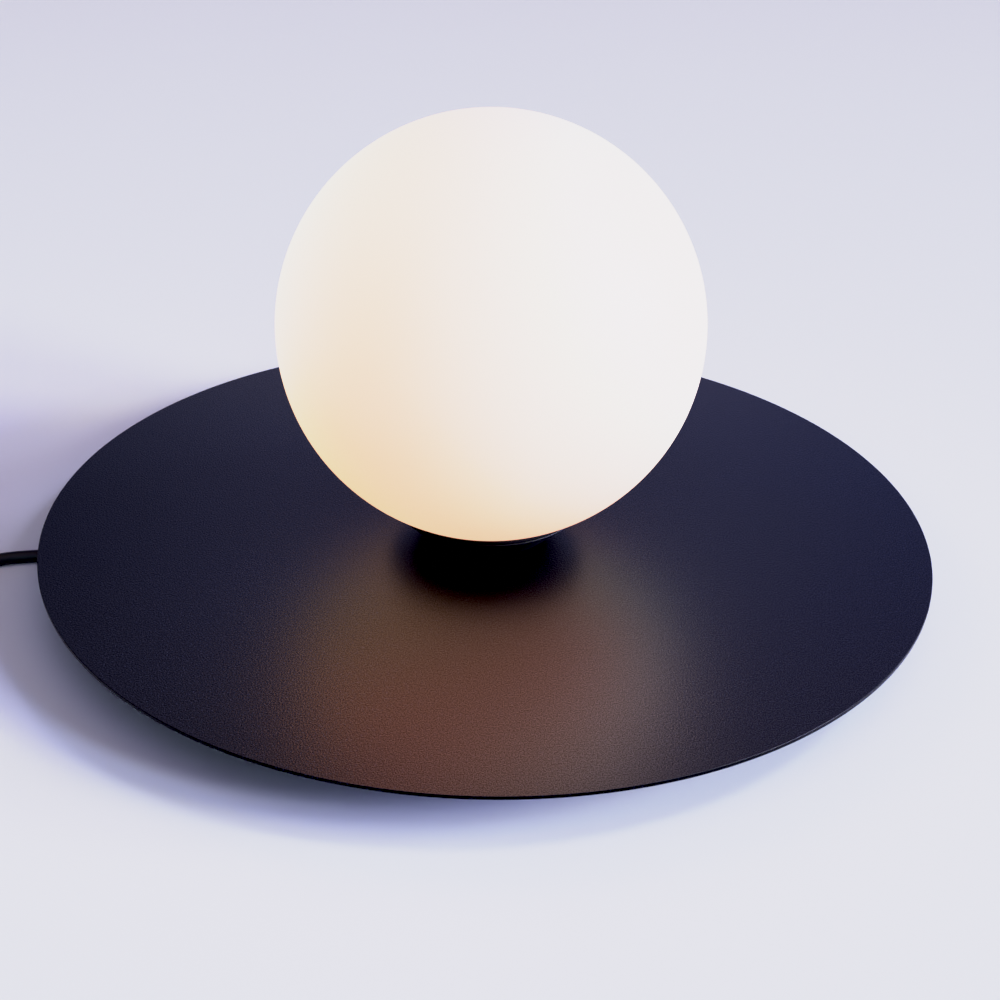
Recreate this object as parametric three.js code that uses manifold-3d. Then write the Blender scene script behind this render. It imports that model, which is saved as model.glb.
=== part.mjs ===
// Table lamp: an opal glass globe in a small flared cup at the centre of a large thin steel disc,
// standing on a shallow base pan hidden under the disc, with a mains flex, an in-line rocker switch,
// the spare flex wound in a tied coil, and a flat two-pin plug.
// Millimetres, +Z up. Origin: on the table, under the centre of the disc.
import * as THREE from "three";
import { mergeVertices } from "three/addons/utils/BufferGeometryUtils.js";
import Module from "manifold-3d";

// ---------------------------------------------------------------- driving dimensions
const GAP = 0.3; // clearance between pieces that touch

const DISC_R = 172.5; // big disc
const DISC_T = 1.5;
const DISC_TOP = 20; // its top face above the table
const DISC_UNDER = DISC_TOP - DISC_T;

const GLOBE_R = 80; // opal globe
const GLOBE_WALL = 3;
const GLOBE_Z = 107.5; // its centre
const NECK_R = 24.5; // collar at the globe's mouth, outside
const NECK_IN = 21.5;
const NECK_Z = 26.5; // its lower edge

const CUP_FLAT_R = 17.3; // flat floor of the cup
const CUP_FILLET = 12; // turn from the floor to the flare
const CUP_RIM_R = 37.35;
const CUP_RIM_Z = 34.5;
const CUP_T = 1.2;
const CUP_Z = DISC_TOP + 0.1;

const NIPPLE_R = 4.9; // threaded tube through the middle
const NIPPLE_BORE = 3.6;
const NIPPLE_LOW = 12;
const NIPPLE_HIGH = 27.4;
const CLEAR_R = 5.3; // holes that the threaded tube goes through
const NUT_AF = 14;

const PAN_R = 75; // base pan under the disc
const PAN_WALL = 1.5;
const PAN_TOP = DISC_UNDER - GAP;
const PAN_LOW = 2.8;
const COVER_R = 73;
const COVER_LOW = 3.2;
const COVER_T = 1.2;
const SCREW_PCR = 67; // cover screws and their posts
const FOOT_R = 8;
const FOOT_H = 2.9;
const FOOT_PCR = 60;

const BALLAST_R = 62;
const BALLAST_IN = 15;
const BALLAST_T = 6;
const BALLAST_SLOT = 12; // half width of the slot for the wiring

const HOLDER_R = 9.5; // lampholder
const HOLDER_LOW = 33;
const HOLDER_HIGH = 52;
const PIN_X = 4.5; // bulb pins, half their spacing

const CORD_R = 2.5; // round two-core flex
const CORD_Z = CORD_R + 0.05; // its centre where it lies on the table
const WIRE_R = 0.9;
const GLAND_Z = 10.2; // where the flex leaves the pan
const RELIEF_END = -103;

const SW = { x: -251, y: -56, half: 32, wide: 13, split: 8.95, high: 19, wall: 1.6 }; // in-line switch, long side along Y
const SW_PIVOT_Z = 15;
const SW_TILT = 8; // degrees each way from level

const COIL = { x: -266, y: 38, rin: 22.7, rout: 36.6, low: 1.3, high: 21.4 };
const COIL_START_R = 33.8; // radius at which the flex joins and leaves the coil
const TIE_ANGLE = 200;
const PLUG = { x: -258, tip: 94.5, z: 6.85 };

// ---------------------------------------------------------------- helpers
const wasm = await Module();
wasm.setup();

// A closed three.js geometry as a solid, whichever way its faces were wound.
function solid(geometry) {
  const g = geometry.index ? geometry.toNonIndexed() : geometry.clone();
  for (const name of Object.keys(g.attributes))
    if (name !== "position") g.deleteAttribute(name);
  const m = mergeVertices(g, 1e-4);
  const ix = m.index.array;
  const p = m.attributes.position.array;
  let tri = [];
  let six = 0;
  for (let i = 0; i < ix.length; i += 3) {
    const [a, b, c] = [ix[i], ix[i + 1], ix[i + 2]];
    if (a === b || b === c || a === c) continue;
    tri.push(a, b, c);
    const [ax, ay, az] = [p[3 * a], p[3 * a + 1], p[3 * a + 2]];
    const [bx, by, bz] = [p[3 * b], p[3 * b + 1], p[3 * b + 2]];
    const [cx, cy, cz] = [p[3 * c], p[3 * c + 1], p[3 * c + 2]];
    six += ax * (by * cz - bz * cy) - ay * (bx * cz - bz * cx) + az * (bx * cy - by * cx);
  }
  if (six < 0)
    for (let i = 0; i < tri.length; i += 3) [tri[i + 1], tri[i + 2]] = [tri[i + 2], tri[i + 1]];
  return new wasm.Manifold(
    new wasm.Mesh({ numProp: 3, vertProperties: new Float32Array(p), triVerts: new Uint32Array(tri) }),
  );
}

const join = (first, ...rest) => rest.reduce((a, b) => a.add(b), first);
const cut = (first, ...rest) => rest.reduce((a, b) => a.subtract(b), first);

function geometryOf(s) {
  const m = s.getMesh();
  const v = new Float32Array(m.numVert * 3);
  for (let i = 0; i < m.numVert; i++)
    v.set(m.vertProperties.subarray(i * m.numProp, i * m.numProp + 3), i * 3);
  const g = new THREE.BufferGeometry()
    .setAttribute("position", new THREE.BufferAttribute(v, 3))
    .setIndex(new THREE.BufferAttribute(new Uint32Array(m.triVerts), 1));
  g.computeVertexNormals();
  return g;
}

const turnZ = (deg) => new THREE.Matrix4().makeRotationZ((deg * Math.PI) / 180);
const move = (x, y, z) => new THREE.Matrix4().makeTranslation(x, y, z);

// [radius, height] pairs turned about Z, or about another line given by a matrix.
function turned(profile, sides, matrix) {
  const g = new THREE.LatheGeometry(profile.map(([r, z]) => new THREE.Vector2(r, z)), sides);
  g.rotateX(Math.PI / 2);
  if (matrix) g.applyMatrix4(matrix);
  return solid(g);
}
const ring = (points, sides, matrix) => turned([...points, points[0]], sides, matrix);

function rod(r, z0, z1, sides, matrix) {
  const g = new THREE.CylinderGeometry(r, r, z1 - z0, sides);
  g.rotateX(Math.PI / 2).translate(0, 0, (z0 + z1) / 2);
  if (matrix) g.applyMatrix4(matrix);
  return solid(g);
}

function block(x0, x1, y0, y1, z0, z1, matrix) {
  const g = new THREE.BoxGeometry(x1 - x0, y1 - y0, z1 - z0);
  g.translate((x0 + x1) / 2, (y0 + y1) / 2, (z0 + z1) / 2);
  if (matrix) g.applyMatrix4(matrix);
  return solid(g);
}

// A flat outline pushed from depth d0 to d1. axes says where the outline's two axes and the depth point.
function plate(shape, d0, d1, axes, matrix, curveSegments = 8) {
  const g = new THREE.ExtrudeGeometry(shape, { depth: d1 - d0, bevelEnabled: false, curveSegments });
  g.translate(0, 0, d0);
  if (axes) {
    const [a, b, c] = axes.map((v) => new THREE.Vector3(...v));
    g.applyMatrix4(new THREE.Matrix4().makeBasis(a, b, c));
  }
  if (matrix) g.applyMatrix4(matrix);
  return solid(g);
}
const outline = (points) => new THREE.Shape(points.map(([x, y]) => new THREE.Vector2(x, y)));
const XZ = [[1, 0, 0], [0, 0, 1], [0, 1, 0]]; // outline in x and z, depth along y
const YZ = [[0, 1, 0], [0, 0, 1], [1, 0, 0]]; // outline in y and z, depth along x

function circle(r, sides) {
  const s = new THREE.Shape();
  for (let i = 0; i < sides; i++) {
    const a = (2 * Math.PI * i) / sides + Math.PI / sides;
    if (i) s.lineTo(r * Math.cos(a), r * Math.sin(a));
    else s.moveTo(r * Math.cos(a), r * Math.sin(a));
  }
  return s;
}

// A round wire or flex along a smooth line of points.
function flex(points, r, steps, sides = 8) {
  const path = new THREE.CatmullRomCurve3(points.map((p) => new THREE.Vector3(...p)), false, "centripetal");
  path.arcLengthDivisions = 800;
  return solid(
    new THREE.ExtrudeGeometry(circle(r, sides), { steps, bevelEnabled: false, extrudePath: path }),
  );
}

// A strip of thickness t that follows a line of [a, b] points, as an outline.
function strip(points, t) {
  const left = [], right = [];
  points.forEach(([x, y], i) => {
    const [px, py] = points[Math.max(i - 1, 0)];
    const [nx, ny] = points[Math.min(i + 1, points.length - 1)];
    const l = Math.hypot(nx - px, ny - py);
    const [ux, uy] = [(-(ny - py) / l) * (t / 2), ((nx - px) / l) * (t / 2)];
    left.push([x + ux, y + uy]);
    right.unshift([x - ux, y - uy]);
  });
  return outline([...left, ...right]);
}

function arc(cx, cz, r, from, to, n) {
  return Array.from({ length: n + 1 }, (_, i) => {
    const a = ((from + ((to - from) * i) / n) * Math.PI) / 180;
    return [cx + r * Math.cos(a), cz + r * Math.sin(a)];
  });
}

const lamp = new THREE.Group();
lamp.name = "table_lamp";
function group(name, parent, x = 0, y = 0, z = 0) {
  const g = new THREE.Group();
  g.name = name;
  g.position.set(x, y, z);
  parent.add(g);
  return g;
}
const standGroup = group("stand", lamp);
const globeGroup = group("globe", lamp);
const bulbGroup = group("bulb", lamp);
const flexGroup = group("flex", lamp);
const switchGroup = group("inline_switch", flexGroup, SW.x, SW.y, 0);
const rockerGroup = group("rocker", switchGroup, 0, 0, SW_PIVOT_Z);
rockerGroup.rotation.x = (-SW_TILT * Math.PI) / 180; // at rest its +Y end is pressed: the lamp is on
const plugGroup = group("plug", flexGroup, PLUG.x, PLUG.tip, PLUG.z);

let into = standGroup; // the group that the next meshes go into
function add(name, s, color, roughness, metalness, extra = {}) {
  const mesh = new THREE.Mesh(
    geometryOf(s),
    new THREE.MeshStandardMaterial({ color, roughness, metalness, ...extra }),
  );
  mesh.name = name;
  into.add(mesh);
}
const BLACK_COAT = [0x17181f, 0.5, 0.3];
const ZINC = [0xb9bdc2, 0.4, 0.9];
const BRASS = [0xc8a24a, 0.35, 0.9];
const BLACK_PLASTIC = [0x121214, 0.45, 0];
const BLACK_RUBBER = [0x101011, 0.75, 0];

// ---------------------------------------------------------------- disc, cup and what holds the globe
add(
  "disc_plate",
  ring([[CLEAR_R, DISC_UNDER], [DISC_R, DISC_UNDER], [DISC_R, DISC_TOP], [CLEAR_R, DISC_TOP]], 128),
  ...BLACK_COAT,
);

const flare = Math.atan2(CUP_RIM_Z - CUP_Z - CUP_FILLET, CUP_RIM_R - CUP_FLAT_R); // helper for the tangent below
// angle at which the rounded floor edge runs on into the straight flare
function tangentAngle() {
  const dx = CUP_RIM_R - CUP_FLAT_R, dz = CUP_RIM_Z - (CUP_Z + CUP_FILLET);
  const d = Math.hypot(dx, dz);
  return (flare - Math.acos(CUP_FILLET / d)) * (180 / Math.PI);
}
const TAN = tangentAngle();
const cupOuter = arc(CUP_FLAT_R, CUP_Z + CUP_FILLET, CUP_FILLET, -90, TAN, 4);
const cupInner = arc(CUP_FLAT_R, CUP_Z + CUP_FILLET, CUP_FILLET - CUP_T, -90, TAN, 4);
const [ox, oz] = cupOuter.at(-1);
const [ix, iz] = cupInner.at(-1);
const slope = (CUP_RIM_R - ox) / (CUP_RIM_Z - oz);
add(
  "holder_cup",
  ring(
    [
      [CLEAR_R, CUP_Z],
      ...cupOuter,
      [CUP_RIM_R, CUP_RIM_Z],
      [ix + (CUP_RIM_Z - iz) * slope, CUP_RIM_Z],
      ...cupInner.reverse(),
      [CLEAR_R, CUP_Z + CUP_T],
    ],
    64,
  ),
  ...BLACK_COAT,
);
add(
  "cup_gasket",
  ring([[36.9, 34.8], [36.9, 36.1], [32.6, 34.1], [32.4, 32.5], [34.9, 34.8]], 64),
  ...BLACK_RUBBER,
);

// globe: outside from the top down, collar, inside back up to the top
const neckDeg = (-Math.acos(NECK_R / GLOBE_R) * 180) / Math.PI;
const innerDeg = (-Math.acos(NECK_IN / (GLOBE_R - GLOBE_WALL)) * 180) / Math.PI;
into = globeGroup;
add(
  "opal_globe",
  turned(
    [
      [0, GLOBE_Z + GLOBE_R],
      ...arc(0, GLOBE_Z, GLOBE_R, 80, -60, 14),
      arc(0, GLOBE_Z, GLOBE_R, neckDeg, neckDeg, 1)[0],
      [NECK_R, NECK_Z],
      [NECK_IN, NECK_Z],
      ...arc(0, GLOBE_Z, GLOBE_R - GLOBE_WALL, innerDeg, 78, 12),
      [0, GLOBE_Z + GLOBE_R - GLOBE_WALL],
    ],
    48,
  ),
  0xfbf4e6, 0.3, 0, { emissive: 0xfff0d8, emissiveIntensity: 0.7 },
);

into = standGroup;
// spring steel spider: a flat ring with three bowed fingers that grip the inside of the collar
const finger = strip([[13.5, 21.9], [16.6, 22.0], [18.8, 23.6], [20.0, 26.2], [20.35, 28.8], [19.4, 31.8], [17.6, 34.6]], 0.6);
const fingers = [90, 210, 330].map((a) => plate(finger, -3.5, 3.5, XZ, turnZ(a)));
const SPIDER_LOW = CUP_Z + CUP_T + GAP;
add(
  "spring_spider",
  join(ring([[CLEAR_R, SPIDER_LOW], [17, SPIDER_LOW], [17, SPIDER_LOW + 0.6], [CLEAR_R, SPIDER_LOW + 0.6]], 36), ...fingers),
  0x8d9196, 0.35, 0.95,
);

// ---------------------------------------------------------------- lampholder on its bracket
const STRAP_LOW = 22.5;
add(
  "holder_bracket",
  cut(
    join(
      block(-9, 9, -7.6, 7.6, STRAP_LOW, STRAP_LOW + 0.8),
      block(-10.8, 10.8, -5, 5, STRAP_LOW, STRAP_LOW + 0.8),
      block(10.0, 10.8, -5, 5, STRAP_LOW, 45),
      block(-10.8, -10.0, -5, 5, STRAP_LOW, 45),
    ),
    rod(CLEAR_R, STRAP_LOW - 1, STRAP_LOW + 2, 24),
    rod(1.75, -12, 12, 16, move(0, 0, 41).multiply(new THREE.Matrix4().makeRotationY(Math.PI / 2))),
  ),
  ...ZINC,
);
const alongX = (x, y, z) => move(x, y, z).multiply(new THREE.Matrix4().makeRotationY(Math.PI / 2));
add(
  "lampholder",
  cut(
    ring([[0.0, HOLDER_LOW], [HOLDER_R - 0.8, HOLDER_LOW], [HOLDER_R, HOLDER_LOW + 0.8], [HOLDER_R, HOLDER_HIGH - 0.8], [HOLDER_R - 0.8, HOLDER_HIGH], [0.0, HOLDER_HIGH]], 32),
    block(-7.6, 7.6, -4.1, 4.1, 47, HOLDER_HIGH + 1),
    block(2.6, 6.4, -2.2, 2.2, 35, 47.5),
    block(-6.4, -2.6, -2.2, 2.2, 35, 47.5),
    rod(1.3, HOLDER_LOW - 1, 35.5, 12, move(PIN_X, 0, 0)),
    rod(1.3, HOLDER_LOW - 1, 35.5, 12, move(-PIN_X, 0, 0)),
    rod(1.75, 6.9, 10, 16, alongX(0, 0, 41)),
    rod(1.75, -10, -6.9, 16, alongX(0, 0, 41)),
  ),
  0xe9e6df, 0.4, 0,
);
// a cross-slotted pan head screw pointing along +Z from its head's top at z 0 (head below its seat)
function screw(headR, headH, shankR, length, matrix, crossR = headR * 0.62) {
  const body = turned(
    [[0, 0], [headR * 0.8, 0], [headR, headH * 0.45], [headR, headH], [shankR, headH], [shankR, length - 0.5], [shankR - 0.4, length], [0, length]],
    16,
  );
  const w = headR * 0.13;
  const s = cut(body, block(-crossR, crossR, -w, w, -1, headH * 0.6), block(-w, w, -crossR, crossR, -1, headH * 0.6));
  const g = geometryOf(s);
  g.applyMatrix4(matrix);
  return solid(g);
}
const faceX = (x, y, z, sign) =>
  move(x, y, z).multiply(new THREE.Matrix4().makeRotationY((sign * Math.PI) / 2));
add("holder_screw_1", screw(2.6, 1.8, 1.4, 5.5, faceX(12.9, 0, 41, -1)), ...ZINC);
add("holder_screw_2", screw(2.6, 1.8, 1.4, 5.5, faceX(-12.9, 0, 41, 1)), ...ZINC);
for (const [i, s] of [[1, 1], [2, -1]]) {
  const u = outline([[-1.6, 35.4], [1.6, 35.4], [1.6, 45.5], [1.2, 45.5], [1.2, 35.8], [-1.2, 35.8], [-1.2, 45.5], [-1.6, 45.5]]);
  add("holder_contact_" + i, plate(u, s * PIN_X - 1.3, s * PIN_X + 1.3, YZ), ...BRASS);
}

// ---------------------------------------------------------------- bulb, two loop pins in the holder
into = bulbGroup;
add(
  "bulb_base",
  join(
    block(-7.2, 7.2, -3.7, 3.7, 47.4, 56),
    turned([[0, 54], [6.6, 54], [8, 56], [8, 59], [0, 59]], 28),
  ),
  0xeeeae0, 0.45, 0,
);
add(
  "bulb_cover",
  turned([[0, 59.3], [8, 59.3], [8.2, 60.5], [8.2, 90], ...arc(0, 90.8, 8.2, 10, 80, 5), [0, 99]], 28),
  0xfff6e6, 0.3, 0, { emissive: 0xfff0d8, emissiveIntensity: 1 },
);
for (const [i, s] of [[1, 1], [2, -1]]) {
  const loop = new THREE.Shape([
    ...[[-1.3, 47.1], [-1.3, 38.3]].map(([a, b]) => new THREE.Vector2(a, b)),
    ...arc(0, 38.3, 1.3, 205, 335, 5).map(([a, b]) => new THREE.Vector2(a, b)),
    ...[[1.3, 38.3], [1.3, 47.1]].map(([a, b]) => new THREE.Vector2(a, b)),
  ]);
  loop.holes.push(
    new THREE.Path([[-0.45, 46.3], [0.45, 46.3], [0.45, 38.5], [0, 38.1], [-0.45, 38.5]].map(([a, b]) => new THREE.Vector2(a, b))),
  );
  add("bulb_pin_" + i, plate(loop, -0.42, 0.42, XZ, move(s * PIN_X, 0, 0)), ...ZINC);
}

// ---------------------------------------------------------------- threaded tube, nuts, washer
into = standGroup;
add(
  "nipple_tube",
  ring([[NIPPLE_BORE, NIPPLE_LOW], [NIPPLE_R, NIPPLE_LOW], [NIPPLE_R, NIPPLE_HIGH], [NIPPLE_BORE, NIPPLE_HIGH]], 24),
  ...ZINC,
);
function nut(z0, z1) {
  const hex = outline(Array.from({ length: 6 }, (_, i) => [(NUT_AF / Math.sqrt(3)) * Math.cos((i * Math.PI) / 3), (NUT_AF / Math.sqrt(3)) * Math.sin((i * Math.PI) / 3)]));
  return cut(plate(hex, z0, z1), rod(NIPPLE_R + GAP, z0 - 1, z1 + 1, 24));
}
add("nipple_nut_upper", nut(23.6, 26.6), ...ZINC);
add("nipple_nut_lower", nut(12.4, 15.4), ...ZINC);
const star = outline(Array.from({ length: 32 }, (_, i) => {
  const r = i % 4 < 2 ? 8.6 : 7.4, a = (i * Math.PI) / 16;
  return [r * Math.cos(a), r * Math.sin(a)];
}));
add("lock_washer", cut(plate(star, 15.7, 16.4), rod(CLEAR_R, 15, 17, 24)), ...ZINC);

// ---------------------------------------------------------------- base pan with its weight, cover and feet
const postAngles = [0, 120, 240];
const atAngle = (deg, r) => [r * Math.cos((deg * Math.PI) / 180), r * Math.sin((deg * Math.PI) / 180)];
const roof = PAN_TOP - PAN_WALL;
add(
  "base_pan",
  cut(
    join(
      ring(
        [[CLEAR_R, roof], [PAN_R - PAN_WALL, roof], [PAN_R - PAN_WALL, PAN_LOW], [PAN_R, PAN_LOW], [PAN_R, PAN_TOP - 0.9], [PAN_R - 0.9, PAN_TOP], [CLEAR_R, PAN_TOP]],
        72,
      ),
      ...postAngles.map((a) => rod(3.6, COVER_LOW + COVER_T + GAP, roof + 0.2, 16, move(...atAngle(a, SCREW_PCR), 0))),
    ),
    ...postAngles.map((a) => rod(1.6, 0, 13, 12, move(...atAngle(a, SCREW_PCR), 0))),
    rod(5, -80, -70, 24, alongX(0, 0, GLAND_Z)),
  ),
  ...BLACK_COAT,
);
const weight = circle(BALLAST_R, 64);
weight.holes.push(new THREE.Path(circle(BALLAST_IN, 32).getPoints()));
add(
  "ballast_plate",
  cut(
    plate(weight, roof - 0.5 - BALLAST_T, roof - 0.5),
    block(-BALLAST_R - 5, -BALLAST_IN + 12, -BALLAST_SLOT, BALLAST_SLOT, 0, 20),
  ),
  0x6f7276, 0.55, 0.85,
);
add(
  "bottom_cover",
  cut(
    rod(COVER_R, COVER_LOW, COVER_LOW + COVER_T, 72),
    ...postAngles.map((a) => rod(1.8, 0, 8, 12, move(...atAngle(a, SCREW_PCR), 0))),
  ),
  ...BLACK_COAT,
);
postAngles.forEach((a, i) =>
  add("cover_screw_" + (i + 1), screw(3, 1.4, 1.3, 10, move(...atAngle(a, SCREW_PCR), COVER_LOW - GAP - 1.4)), ...ZINC),
);
[45, 135, 225, 315].forEach((a, i) =>
  add(
    "foot_" + (i + 1),
    turned([[0, 0], [FOOT_R - 0.8, 0], [FOOT_R, 0.8], [FOOT_R, FOOT_H], [0, FOOT_H]], 24, move(...atAngle(a, FOOT_PCR), 0)),
    ...BLACK_RUBBER,
  ),
);

// ---------------------------------------------------------------- wiring inside the base
// strain relief: a turned piece whose axis runs along -X, heights are distances from the centre
add(
  "strain_relief",
  turned(
    [[0, 70.8], [5.5, 70.8], [5.5, 73.2], [4.7, 73.2], [4.7, 75.4], [6.2, 75.4], [6.2, 77.0], [5.3, 77.6], [3.7, -RELIEF_END], [0, -RELIEF_END]],
    28,
    move(0, 0, GLAND_Z).multiply(new THREE.Matrix4().makeRotationY(-Math.PI / 2)),
  ),
  ...BLACK_RUBBER,
);
add("cord_inner_end", rod(CORD_R, -70.5, -62, 12, alongX(0, 0, GLAND_Z)), ...BLACK_PLASTIC);
const TB = { x0: -49, x1: -31, y: 8.5, z0: 5.3, z1: 15.9, way: 4.2, z: 10.6 };
const ways = [1, -1];
const screwX = [-45.5, -34.5];
add(
  "terminal_block",
  cut(
    block(TB.x0, TB.x1, -TB.y, TB.y, TB.z0, TB.z1),
    ...ways.map((s) => rod(1.9, TB.x0 - 1, TB.x1 + 1, 16, alongX(0, s * TB.way, TB.z))),
    ...ways.flatMap((s) => screwX.map((x) => rod(1.9, TB.z0 - 1, TB.z - 0.5, 12, move(x, s * TB.way, 0)))),
    block(-41, -39, -TB.y - 1, TB.y + 1, TB.z1 - 1.6, TB.z1 + 1),
    block(TB.x0 - 1, TB.x1 + 1, -0.8, 0.8, TB.z1 - 1.6, TB.z1 + 1),
  ),
  0xe6e3da, 0.5, 0,
);
let n = 0;
for (const s of ways)
  for (const x of screwX) {
    n += 1;
    add(
      "terminal_screw_" + n,
      cut(rod(1.5, 6.2, 9.4, 12, move(x, s * TB.way, 0)), block(x - 2, x + 2, s * TB.way - 0.25, s * TB.way + 0.25, 6, 6.9)),
      ...ZINC,
    );
  }
for (const [name, s] of [["live", 1], ["neutral", -1]]) {
  const color = s > 0 ? 0x6b4226 : 0x2a5fa8;
  add(
    "mains_wire_" + name,
    flex([[-61.7, s * 1.25, GLAND_Z], [-58, s * 1.7, 10.3], [-54, s * 3.4, 10.5], [-50.5, s * TB.way, TB.z], [-47, s * TB.way, TB.z], [-43.5, s * TB.way, TB.z]], WIRE_R, 9),
    color, 0.5, 0,
  );
  add(
    "lamp_wire_" + name,
    flex(
      [
        [-36.5, s * TB.way, TB.z], [-33, s * TB.way, TB.z], [-29.5, s * TB.way, 10.5], [-24, s * 3.4, 9.4], [-16, s * 2.2, 7.6], [-8, s * 1.6, 6.6],
        [-2.6, s * 1.35, 7.7], [-0.3, s * 1.3, 11], [0, s * 1.3, 15], [0, s * 1.3, 20], [0, s * 1.3, 25],
        [s * 0.9, s * 1.3, 28], [s * 3.2, s * 0.8, 30.2], [s * PIN_X, 0, 32.6], [s * PIN_X, 0, 35.1],
      ],
      WIRE_R, 26,
    ),
    color, 0.5, 0,
  );
}

// ---------------------------------------------------------------- flex from the base to the switch
into = flexGroup;
const laneX = -209, turnR = (laneX - SW.x) / 2, turnX = (laneX + SW.x) / 2, turnY = -104;
const uTurn = arc(turnX, turnY, turnR, 0, -180, 8);
const rise = [CORD_Z, CORD_Z, CORD_Z, CORD_Z, CORD_Z, CORD_Z + 0.2, CORD_Z + 0.8, CORD_Z + 1.9, CORD_Z + 3.3];
add(
  "cord_to_switch",
  flex(
    [
      [RELIEF_END - GAP, 0, GLAND_Z], [-106, 0, 10.1], [-112, 0.2, 9.2], [-121, 0.7, 6.9], [-130, 1.3, 4.7], [-140, 2.1, 3.0], [-150, 2.8, CORD_Z],
      [-160, 3.0, CORD_Z], [-170, 2.6, CORD_Z], [-178, 1.6, CORD_Z], [-186, 0.0, CORD_Z], [-192, -2.0, CORD_Z],
      [-198.5, -5.8, CORD_Z], [-204, -11.8, CORD_Z], [-207.6, -19.5, CORD_Z], [laneX - 0.2, -28, CORD_Z],
      [laneX, -45, CORD_Z], [laneX, -65, CORD_Z], [laneX, -85, CORD_Z],
      ...uTurn.map(([x, y], i) => [x, y, rise[i]]),
      [SW.x, -97, 7.9], [SW.x, -91, 8.8], [SW.x, SW.y - 26, SW.split],
    ],
    CORD_R, 34,
  ),
  ...BLACK_PLASTIC,
);

// ---------------------------------------------------------------- in-line switch
into = switchGroup;
// plan outline with its long side along Y, and a side profile that both shells are cut to
function switchPlan(inset) {
  const s = new THREE.Shape();
  const h = SW.half - inset, w = SW.wide - inset, e = 5.6 - inset * 0.6;
  s.moveTo(-e, -h);
  s.quadraticCurveTo(-w * 0.86, -h * 0.9, -w * 0.98, -h * 0.42);
  s.quadraticCurveTo(-w * 1.02, 0, -w * 0.98, h * 0.42);
  s.quadraticCurveTo(-w * 0.86, h * 0.9, -e, h);
  s.lineTo(e, h);
  s.quadraticCurveTo(w * 0.86, h * 0.9, w * 0.98, h * 0.42);
  s.quadraticCurveTo(w * 1.02, 0, w * 0.98, -h * 0.42);
  s.quadraticCurveTo(w * 0.86, -h * 0.9, e, -h);
  return s;
}
function switchSide(inset) {
  const h = SW.half - inset;
  return outline([[-h, 4 + inset], [-24, inset], [24, inset], [h, 4 + inset], [h, 13.9 - inset], [15, SW.high - inset], [-15, SW.high - inset], [-h, 13.9 - inset]]);
}
const swBody = (inset) => plate(switchPlan(inset), 0, SW.high + 1, null, null, 5).intersect(plate(switchSide(inset), -20, 20, YZ));
const posts = [[7, 20], [-7, -20]];
const outer = swBody(0), inner = swBody(SW.wall);
const lowerHalf = (s, top) => s.intersect(block(-20, 20, -40, 40, -1, top));
const upperHalf = (s, low) => s.intersect(block(-20, 20, -40, 40, low, 30));
const splitLow = SW.split - GAP / 2, splitHigh = SW.split + GAP / 2;
const cordHole = rod(CORD_R + GAP, -40, 40, 16, move(0, 0, SW.split).multiply(new THREE.Matrix4().makeRotationX(Math.PI / 2)));
const postsIn = posts.map(([x, y]) => rod(2.8, 0.5, SW.high, 14, move(x, y, 0))).reduce((a, b) => a.add(b)).intersect(outer);
const shell = join(outer.subtract(inner), postsIn);
const ribs = join(block(-5.4, -1.8, -13.6, -9.4, 1, 5.6), block(1.8, 5.4, 9.4, 13.6, 1, 5.6));
add(
  "switch_shell_lower",
  cut(
    join(lowerHalf(shell, splitLow), ribs),
    cordHole,
    ...posts.map(([x, y]) => rod(1.4, -1, 12, 12, move(x, y, 0))),
    ...posts.map(([x, y]) => rod(2.45, -1, 2.1, 16, move(x, y, 0))),
  ),
  ...BLACK_PLASTIC,
);
const bezel = block(-7.6, 7.6, -11.6, 11.6, SW.high - 1, SW.high + 0.8);
const lugs = join(
  block(6.2, 8.2, -2.6, 2.6, 12.6, SW.high - 1),
  block(-8.2, -6.2, -2.6, 2.6, 12.6, SW.high - 1),
);
add(
  "switch_shell_upper",
  cut(
    join(upperHalf(shell, splitHigh), bezel, lugs),
    cordHole,
    block(-6, 6, -10.1, 10.1, SW.high - 4, SW.high + 3),
    ...posts.map(([x, y]) => rod(1.4, 5, 15, 12, move(x, y, 0))),
    rod(1.3, -9, 9, 16, alongX(0, 0, SW_PIVOT_Z)),
  ),
  ...BLACK_PLASTIC,
);
posts.forEach(([x, y], i) => add("switch_screw_" + (i + 1), screw(2.1, 1.4, 1.1, 12, move(x, y, 0.35)), ...ZINC));

into = rockerGroup; // drawn level, about its own pin
add(
  "switch_rocker",
  join(
    plate(outline([[-9.0, 0.4], [-5, -1.2], [5, -1.2], [9.0, 0.4], [8.7, 5.4], [6.2, 4.7], [3.2, 4.2], [0, 4.05], [-3.2, 4.2], [-6.2, 4.7], [-8.7, 5.4]]), -5.6, 5.6, YZ),
    rod(1.2, -7.6, 7.6, 16, alongX(0, 0, 0)),
  ),
  0x1a1a1c, 0.35, 0,
);
add(
  "switch_bridge",
  join(
    block(-4.6, 4.6, 3.2, 5.2, -2.1, -1.5),
    rod(0.8, -2.7, -1.8, 12, move(3.6, 4.2, 0)),
    rod(0.8, -2.7, -1.8, 12, move(-3.6, 4.2, 0)),
  ),
  ...BRASS,
);
into = switchGroup;
add(
  "switch_terminal_1",
  cut(join(block(-4.6, -2.6, -12, 4.8, 10.6, 11.35), block(-5.6, -1.6, -14, -9, 6, 11.35)), rod(1.2, -15, -8, 12, move(-3.6, 0, SW.split).multiply(new THREE.Matrix4().makeRotationX(-Math.PI / 2)))),
  ...BRASS,
);
add(
  "switch_terminal_2",
  cut(join(block(2.6, 4.6, 2.8, 12, 10.6, 11.35), block(1.6, 5.6, 9, 14, 6, 11.35)), rod(1.2, 8, 15, 12, move(3.6, 0, SW.split).multiply(new THREE.Matrix4().makeRotationX(-Math.PI / 2)))),
  ...BRASS,
);
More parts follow.
